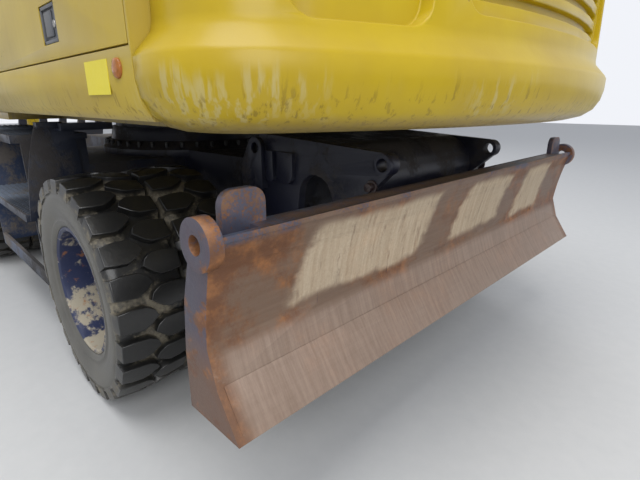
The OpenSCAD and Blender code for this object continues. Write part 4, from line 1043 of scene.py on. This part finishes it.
# Windows in side view, as x and z
SIDE_WINDOW = [(-0.215, 2.0), (-0.215, 2.95), (0.43, 2.95), (0.43, 2.0)]
RIGHT_WINDOW = [
    (-0.215, 2.0), (-0.215, 2.95), (1.225, 2.95), (1.355, 2.0), (1.33, 1.7), (0.3, 1.7), (0.3, 2.0),
]
DOOR_WINDOW = [(0.58, 1.78), (0.58, 2.9), (1.195, 2.9), (1.312, 2.0), (1.305, 1.78)]
DOOR_LOW_WINDOW = [(0.62, 1.42), (0.62, 1.7), (1.28, 1.7), (1.27, 1.42)]


def gasket_strip(name, points, body):
    strip = pipe(name, points + [points[0]], 0.008, 0.02)
    fit(strip, gasket, body)


def make_gaskets():
    outer = CAB_OUT_Y - GASKET_SUNK
    gasket_strip("gasket_side", section(outer, SIDE_WINDOW), "upper")
    gasket_strip("gasket_right", section(CAB_IN_Y + 0.002, RIGHT_WINDOW), "upper")
    gasket_strip("gasket_door", section(outer, DOOR_WINDOW), "cab_door")
    gasket_strip("gasket_door_low", section(outer, DOOR_LOW_WINDOW), "cab_door")
    right, left = CAB_IN_Y + REAR_PANE_EDGE, CAB_OUT_Y - REAR_PANE_EDGE
    corners = (right, 2.15), (right, 2.88), (left, 2.88), (left, 2.15)
    gasket_strip("gasket_rear", [place(CAB_REAR_X + 0.002, y, z) for y, z in corners], "upper")


def make_door_handle():
    y = CAB_OUT_Y
    plate = slab("handle_plate", (1.10, y - 0.001, 1.712), (1.27, y + 0.004, 1.770), 0.002)
    grip = slab("handle_grip", (1.13, y + 0.003, 1.730), (1.24, y + 0.018, 1.753), 0.006)
    fit(join("door_handle", [plate, grip]), plastic, "cab_door")


def make_wiper():
    """One arm and its blade, parked upright beside the windscreen's middle."""
    foot, tip = place(1.425, 0.66, 1.93), place(1.344, 0.60, 2.62)
    arm = pipe("wiper_arm", [foot, foot + Vector((0.012, 0, 0.06)), tip], 0.006, 0.03)
    blade = pipe("wiper_blade", [place(1.415, 0.585, 2.05), place(1.318, 0.60, 2.83)], 0.007, 0.01)
    pivot = round_bar("wiper_pivot", place(1.405, 0.66, 1.93), place(1.436, 0.66, 1.93), 0.018, 24)
    fit(join("wiper", [arm, blade, pivot]), plastic, "upper")


def make_mirror(name, arm_points, low, high):
    """A case from corner to corner on its arm, with the glass on its rear face."""
    arm = pipe(name, [place(*at) for at in arm_points], 0.009, 0.03)
    fit(join(name, [arm, slab("case", low, high, 0.014)]), plastic, "upper")
    edge = 0.014
    pane = slab(
        name + "_glass", (low[0] - 0.0015, low[1] + edge, low[2] + edge),
        (low[0] + 0.002, high[1] - edge, high[2] - edge), 0.001,
    )
    fit(pane, chrome, "upper")


make_gaskets()
make_door_handle()
make_wiper()
make_mirror(
    "mirror_left", [(1.37, 1.19, 2.66), (1.50, 1.20, 2.68), (1.505, 1.16, 2.60)],
    (1.485, 1.065, 2.30), (1.525, 1.255, 2.61),
)
make_mirror(
    "mirror_right", [(0.84, -1.10, 2.35), (0.86, -1.12, 2.45)],
    (0.815, -1.245, 2.295), (0.865, -1.015, 2.625),
)


# Steps, the carrier behind the house, and pins

TREAD_X = -0.44
TREAD_Y = (0.925, 1.238)
TREAD_TEETH = 20
CARRIER_OUT = 0.440
STUB_X, STUB_Z = -2.074, 0.984
BLADE_PIN_X, BLADE_PIN_Z = -2.1098, 0.7517
BLADE_PIVOT_X, BLADE_PIVOT_Z = -1.580, 0.470
BLADE_RISE = 0.150
BLADE_PIN_Y, BLADE_PIN_R = 0.320, 0.036


def make_treads():
    """Toothed bars across each step."""
    first, last = TREAD_Y
    for level, z in (("low", 0.7301), ("high", 1.1301)):
        profile = [(first, z)]
        for i in range(TREAD_TEETH + 1):
            y = first + (last - first) * i / TREAD_TEETH
            profile.append((y, z + (0.010 if i % 2 else 0.004)))
        profile.append((last, z))
        corners = [place(TREAD_X, y, up) for y, up in profile]
        bar = panel("treads_" + level, corners, (0.004, 0, 0))
        both_sides(row_of(bar, 27, (0.040, 0, 0)), tread_steel, "chassis")


def make_carrier_trim():
    """The rusty stub beside the side plate's end, in its collar."""
    stub = soften(peg("stub", STUB_X, STUB_Z, CARRIER_OUT, 0.030, 0.017), 0.003)
    collar = soften(peg("collar", STUB_X, STUB_Z, CARRIER_OUT, 0.008, 0.026), 0.002)
    trim = smooth(join("carrier_stub", [stub, collar]))
    both_sides(trim, rusty_steel, "chassis")


def pin_cap(name, x, z, y, radius, body):
    """The end of a pin: a round plate and its keeper with a bolt, on both sides."""
    disc = soften(peg(name, x, z, y, 0.010, radius, 36, inward=0.004), 0.003)
    keeper = slab(
        "keeper", (x - radius * 0.45, y - 0.001, z - radius * 1.45),
        (x + radius * 0.45, y + 0.007, z - radius * 0.55), 0.002,
    )
    bolt = peg("bolt", x, z - radius * 1.2, y, 0.014, radius * 0.16, 6, inward=-0.005)
    both_sides(smooth(join(name, [disc, keeper, bolt])), steel, body)


make_treads()
make_carrier_trim()
for name, x, z, body in (
    ("pin_blade_", BLADE_PIN_X, BLADE_PIN_Z, "blade"),
    ("pin_pivot_", BLADE_PIVOT_X, BLADE_PIVOT_Z, "chassis"),
):
    for level, rise in (("low", 0), ("high", BLADE_RISE)):
        pin_cap(name + level, x, z + rise, BLADE_PIN_Y, BLADE_PIN_R, body)
pin_cap("pin_boom_foot", 0.250, 1.800, 0.255, 0.060, "upper")
pin_cap("pin_cyl_base", 0.820, 1.450, 0.340, 0.046, "upper")


# Seat, consoles and floor of the cab

SEAT_Y = (CAB_IN_Y + CAB_OUT_Y) / 2
CAB_FLOOR_Z = 1.307
CONSOLE_Z = 1.8795
BACK_LEAN = math.radians(10.5)
SEAM_Y = 0.135
PAD_VOXEL = 0.006
PAD_PRESSURE = 4.0
PAD_FRAMES = 20
PAD_SWELL = 0.012
SEAM_DEPTH, SEAM_WIDTH = 0.007, 0.006
BOOT = [
    (0.0, CONSOLE_Z), (0.046, CONSOLE_Z), (0.046, 1.890), (0.030, 1.896), (0.036, 1.904),
    (0.024, 1.912), (0.029, 1.920), (0.016, 1.930), (0.0, 1.932),
]
GRIP = [
    (0.0, 1.925), (0.010, 1.925), (0.012, 1.955), (0.021, 1.970), (0.023, 2.000), (0.019, 2.030),
    (0.023, 2.055), (0.021, 2.075), (0.0, 2.082),
]


def puffed(piece):
    """Remeshes a pad and swells it as stuffed cloth, no point by more than PAD_SWELL."""
    piece.data.remesh_voxel_size = PAD_VOXEL
    select(piece)
    ops.object.voxel_remesh()
    before = [vert.co.copy() for vert in piece.data.vertices]
    cloth_sim = piece.modifiers.new("cloth", "CLOTH")
    cloth_sim.settings.use_pressure = True
    cloth_sim.settings.uniform_pressure_force = PAD_PRESSURE
    cloth_sim.settings.effector_weights.gravity = 0
    cloth_sim.point_cache.frame_start = 1
    cloth_sim.point_cache.frame_end = PAD_FRAMES
    for at in range(1, PAD_FRAMES + 1):
        bpy.context.scene.frame_set(at)
    apply_modifiers(piece)
    bpy.context.scene.frame_set(1)
    for vert, start in zip(piece.data.vertices, before):
        move = vert.co - start
        if move.length > PAD_SWELL:
            vert.co = start + move.normalized() * PAD_SWELL


def seams(axis, spots):
    """Functions that are 0 on a seam: beside the middle panel, and across it at each spot."""
    def across(spot):
        return lambda p: p[axis] - spot if abs(p.y - SEAT_Y) < SEAM_Y else 1

    return [lambda p: abs(p.y - SEAT_Y) - SEAM_Y, *map(across, spots)]


def sew(piece, channels):
    """Draws the surface in along the seams."""
    normals = [vert.normal.copy() for vert in piece.data.vertices]
    for vert, normal in zip(piece.data.vertices, normals):
        pull = max(math.exp(-((channel(vert.co) / SEAM_WIDTH) ** 2)) for channel in channels)
        vert.co -= normal * SEAM_DEPTH * pull


def make_pad(name, low, high, lean, channels):
    """A padded block from low to high, leaned back by the angle lean about its lower rear edge."""
    pad = block(name, low, high)
    edit_all(pad)
    ops.mesh.subdivide(number_cuts=3)
    rest_selection()
    soften(pad, 0.030, 4, 60)
    middle = (Vector(low) + Vector(high)) / 2
    half = (Vector(high) - Vector(low)) / 2
    for vert in pad.data.vertices:
        shares = [(vert.co[i] - middle[i]) / half[i] for i in range(3)]
        pull = 1 - 0.05 * (shares[0] ** 2 * shares[1] ** 2)
        vert.co = middle + Vector((vert.co[i] - middle[i]) * pull for i in range(3))
    puffed(pad)
    sew(pad, channels)
    pivot = Vector((low[0], 0, low[2]))
    pad.data.transform(
        Matrix.Translation(pivot) @ Matrix.Rotation(-lean, 4, "Y") @ Matrix.Translation(-pivot)
    )
    smooth(pad, 60)
    fit(pad, cloth, "upper", ["seat"])


def make_seat():
    """Cushion and back on a plastic frame, over a bellows, between two arm rests."""
    y, z = SEAT_Y, CAB_FLOOR_Z
    make_pad(
        "seat_cushion", place(0.135, y - 0.238, 1.645), place(0.628, y + 0.238, 1.752), 0,
        seams(0, [place(x, 0, 0).x for x in (0.40, 0.28)]),
    )
    low = place(0.075, y - 0.228, 1.765)
    make_pad(
        "seat_back", low, (low.x + 0.095, y + 0.228, low.z + 0.63), BACK_LEAN,
        seams(2, [low.z + 0.17, low.z + 0.34]),
    )
    shell = panel("seat_shell", section(y - 0.215, [
        (0.045, 1.70), (0.075, 1.70), (-0.040, 2.38), (-0.058, 2.37),
    ]), (0, 0.43, 0))
    soften(shell, 0.008, 3)
    pan = slab("pan", (0.125, y - 0.225, 1.615), (0.615, y + 0.225, 1.655), 0.012)
    hinge = peg("hinge", 0.085, 1.72, y, 0.225, 0.025, inward=0.225)
    fit(smooth(join("seat_frame", [shell, pan, hinge])), plastic, "upper", ["seat"])
    bellows = [slab("foot", (0.155, y - 0.18, z), (0.545, y + 0.18, z + 0.05), 0.008)]
    for i in range(7):
        low_z, high_z = z + 0.04 + 0.038 * i, z + 0.073 + 0.038 * i
        bellows.append(slab("fold", (0.17, y - 0.165, low_z), (0.53, y + 0.165, high_z), 0.014))
    fit(join("seat_suspension", bellows), gasket, "upper", ["seat"])
    rests = [
        slab("rest", (0.16, y + off - 0.045, CONSOLE_Z), (0.46, y + off + 0.045, 1.925), 0.016, 4)
        for off in (-0.315, 0.315)
    ]
    fit(join("arm_rests", rests), cloth, "upper")


def make_levers():
    """A joystick on each console, with a folded boot and a shaped grip."""
    for name, sign in SIDES:
        spot = place(0.60, SEAT_Y + sign * 0.320, 0)
        parts = [lathe_up("boot", BOOT, spot, 32), lathe_up("grip", GRIP, spot, 32)]
        fit(join("lever_" + name, parts), plastic, "upper")


def make_cab_floor():
    """A ribbed mat, two pedals, and the monitor on its stalk."""
    right, left, z = CAB_IN_Y, CAB_OUT_Y, CAB_FLOOR_Z
    mat = slab("mat", (0.56, right + 0.06, z), (1.33, left - 0.06, 1.315), 0.003)
    rib = block("rib", place(0.60, right + 0.09, 1.3148), place(0.612, left - 0.09, 1.3185))
    fit(join("floor_mat", [mat, row_of(rib, 29, (0.024, 0, 0))]), gasket, "upper")
    for name, sign in SIDES:
        y = SEAT_Y + sign * 0.14
        pad = panel("pedal", section(y - 0.05, [
            (1.02, 1.345), (1.18, 1.435), (1.188, 1.425), (1.028, 1.335),
        ]), (0, 0.10, 0))
        soften(pad, 0.002)
        stem = pipe("stem", [place(1.10, y, 1.31), place(1.12, y, 1.39)], 0.012, 0.01)
        fit(join("pedal_" + name, [pad, stem]), plastic, "upper")
    screen = slab("monitor", (1.10, right + 0.085, 2.02), (1.15, right + 0.265, 2.17), 0.012)
    stalk = pipe("stalk", [
        place(1.20, right + 0.05, 1.96), place(1.16, right + 0.14, 1.97),
        place(1.135, right + 0.17, 2.05),
    ], 0.012, 0.03)
    fit(join("monitor", [screen, stalk]), plastic, "upper")


make_seat()
make_levers()
make_cab_floor()


# Working arm

BOOM_FOOT = Vector(joints["boom_lift"]["pos_m"])
ARM_PIN = Vector(joints["arm_swing"]["pos_m"])
BUCKET_PIN = Vector(joints["bucket_swing"]["pos_m"])
BOOM_TILT = math.radians(16.5)
ARM_TILT = math.radians(-105)
LINE_R = 0.011
# Points along a chord and above it
BOOM_PIPE_RUN = [
    (0.45, 0.395), (1.15, 0.785), (1.43, 0.908), (1.74, 0.985), (2.10, 0.968), (2.50, 0.897),
    (4.55, 0.262),
]
BOOM_CLAMPS = [
    (0.80, 0.590), (1.43, 0.908), (2.10, 0.968), (2.9, 0.772), (3.6, 0.557), (4.3, 0.340),
]
ARM_PIPE_RUN = [(0.25, 0.345), (0.55, 0.295), (1.35, 0.125)]
ARM_CLAMPS = [(0.28, 0.340), (0.75, 0.2525), (1.33, 0.129)]


def beyond(pin, tilt, x, y, z):
    """A point x along a leaned piece from its pin and z above its chord."""
    cos, sin = math.cos(tilt), math.sin(tilt)
    return Vector((pin.x, 0, pin.z)) + Vector((x * cos - z * sin, y, x * sin + z * cos))


def on_boom(x, y, z):
    return beyond(BOOM_FOOT, BOOM_TILT, x, y, z)


def on_arm(x, y, z):
    return beyond(ARM_PIN, ARM_TILT, x, y, z)


def clamp(foot, back, ahead, width=0.005):
    """A rounded block that reaches back and ahead from its foot."""
    return rounded_block("clamp", foot - Vector(back), foot + Vector(ahead), width)


def make_boom_pipes():
    """Two steel lines each side along the boom's back, held by clamps."""
    lines = [
        pipe("line", [on_boom(x, y, z + 0.012) for x, z in BOOM_PIPE_RUN], LINE_R, 0.05)
        for y in (0.128, 0.160)
    ]
    for x, z in BOOM_CLAMPS:
        foot = on_boom(x, 0.110, z - 0.035)
        lines.append(clamp(foot, (0.022, 0, 0), (0.022, 0.068, 0.066)))
    end = on_boom(4.55, 0.105, 0.225)
    lines.append(clamp(end, (0.035, 0, 0), (0.035, 0.078, 0.075), 0.006))
    both_sides(join("boom_lines", lines), dark_paint, "boom")


def make_arm_pipes():
    """One steel line each side along the arm, held by clamps."""
    lines = [pipe("line", [on_arm(x, 0.10, z) for x, z in ARM_PIPE_RUN], LINE_R, 0.05)]
    for x, z in ARM_CLAMPS:
        foot = on_arm(x, 0.076, z - 0.012)
        lines.append(clamp(foot, (0.030, 0, 0.024), (0.032, 0.048, 0.024)))
    both_sides(join("arm_lines", lines), dark_paint, "arm")


def end_cap(name, centre, y, radius, body):
    """The round end of a pin with a dished middle."""
    disc = lathe(name, [
        (0.0, y + 0.006), (radius * 0.55, y + 0.006), (radius * 0.62, y + 0.010),
        (radius * 0.92, y + 0.010), (radius, y + 0.006), (radius, y - 0.004),
    ], (centre.x, 0, centre.z), 36)
    both_sides(smooth(disc, 40), steel, body)


make_boom_pipes()
end_cap("pin_boom_eye", on_boom(1.9, 0, 0.56), 0.322, 0.052, "boom")
end_cap("pin_boom_tip", on_boom(5.0, 0, 0), 0.203, 0.062, "boom")
end_cap("pin_arm_cyl", on_boom(2.45, 0, 1.01), 0.101, 0.050, "boom")
end_cap("pin_bucket_cyl", on_arm(0.35, 0, 0.40), 0.101, 0.042, "arm")
end_cap("pin_bucket", BUCKET_PIN, 0.196, 0.056, "bucket")
end_cap("pin_rocker", on_arm(2.03, 0, 0), 0.161, 0.044, "rocker")
make_arm_pipes()


# Running gear and exhaust

FLANGE_R = 0.592
STACK_X, STACK_Y, STACK_TOP = -0.900, -1.0, 2.4503


def make_ring_bolts():
    """Hexagon heads round the slewing ring's flange."""
    head = round_bar("head", place(FLANGE_R, 0, 1.005), place(FLANGE_R, 0, 1.046), 0.013, 6)
    soften(head, 0.0015)
    fit(ring_of(head, 40, place(0, 0, 0), (0, 0, 1)), dark_paint, "chassis")


def make_axle_trim():
    """A drive flange with its joint cross, and brake lines, on both axles."""
    bits = []
    for axle, sign in (("rear", 1), ("front", -1)):
        centre = Vector(AXLES[axle])
        x, z = centre.x + sign * 0.186, centre.z
        bits.append(soften(round_bar("flange", (x, 0, z), (x + sign * 0.03, 0, z), 0.075), 0.004))
        for lean in (0, 90):
            arm = Matrix.Rotation(math.radians(lean), 4, "X") @ Vector((0, 0.055, 0))
            spot = Vector((x + sign * 0.055, 0, z))
            bits.append(round_bar("cross", spot - arm, spot + arm, 0.014, 20))
        for side in (-1, 1):
            bits.append(pipe("brake", [
                centre + Vector((sign * 0.06, side * y, up))
                for y, up in ((0.14, 0.145), (0.26, 0.100), (0.52, 0.095))
            ], 0.007, 0.03))
    fit(join("axle_lines", bits), dark_paint, "chassis")


def make_exhaust_tip():
    """A rolled outlet and three straps round the stack."""
    spot, top = place(STACK_X, STACK_Y, 0), STACK_TOP
    tip = lathe_up("tip", [
        (0.0415, top - 0.03), (0.0415, top + 0.018), (0.047, top + 0.022), (0.0525, top + 0.016),
        (0.0525, top - 0.03), (0.0505, top - 0.034),
    ], spot)
    fit(tip, steel, "upper")
    near, far, wide = 0.0505, 0.0545, 0.016
    straps = [
        lathe_up("strap", [(near, z), (far, z), (far, z + wide), (near, z + wide)], spot)
        for z in (2.19, 2.30, 2.38)
    ]
    fit(join("exhaust_straps", straps), dark_paint, "upper")


make_ring_bolts()
make_axle_trim()
make_exhaust_tip()


# Floor, light and view


def make_stage():
    """A pale floor that takes shadows and isn't part of the object."""
    rest_selection()
    ops.mesh.primitive_plane_add(size=60, location=(0, 0, 0))
    floor = settle("floor")
    pale = Finish("floor_pale", roughness=0.8)
    grain = pale.noise(14, 4, 0.6)
    pale.set(base_color=pale.mix((0.54, 0.545, 0.54), (0.60, 0.60, 0.59), grain))
    floor.data.materials.append(pale.material)


def make_light(name, at, aim, size, power):
    data = bpy.data.lights.new(name, "AREA")
    data.shape = "DISK"
    data.size = size
    data.energy = power
    lamp = bpy.data.objects.new(name, data)
    bpy.context.scene.collection.objects.link(lamp)
    lamp.location = at
    lamp.rotation_euler = (Vector(aim) - Vector(at)).to_track_quat("-Z", "Y").to_euler()


def make_world():
    """A soft sky for the light, and a paler one that the camera, reflections and glass see."""
    world = bpy.data.worlds.new("studio")
    bpy.context.scene.world = world
    world.use_nodes = True
    nodes, links = world.node_tree.nodes, world.node_tree.links
    sky, backdrop = nodes["Background"], nodes.new("ShaderNodeBackground")
    for shade, colour, strength in (
        (sky, (0.86, 0.90, 1.0, 1), 0.60), (backdrop, (0.93, 0.95, 1.0, 1), 0.95),
    ):
        shade.inputs["Color"].default_value = colour
        shade.inputs["Strength"].default_value = strength
    ray = nodes.new("ShaderNodeLightPath")
    seen = ray.outputs["Is Camera Ray"]
    for kind in ("Is Glossy Ray", "Is Transmission Ray"):
        either = nodes.new("ShaderNodeMath")
        either.operation = "MAXIMUM"
        links.new(seen, either.inputs[0])
        links.new(ray.outputs[kind], either.inputs[1])
        seen = either.outputs[0]
    blend = nodes.new("ShaderNodeMixShader")
    for i, source in enumerate((seen, sky.outputs[0], backdrop.outputs[0])):
        links.new(source, blend.inputs[i])
    links.new(blend.outputs[0], nodes["World Output"].inputs["Surface"])


make_stage()
make_world()
make_light("overhead", (-3.5, 2.0, 8.5), (-0.5, 0.0, 0.8), 6.0, 500)
make_light("left_fill", (-8.5, 4.0, 4.5), (-2.5, 0.3, 0.8), 5.0, 250)
make_light("front_fill", (7.0, -6.0, 5.0), (0.5, 0.0, 1.2), 4.0, 280)
bpy.context.scene.view_settings.view_transform = "Standard"
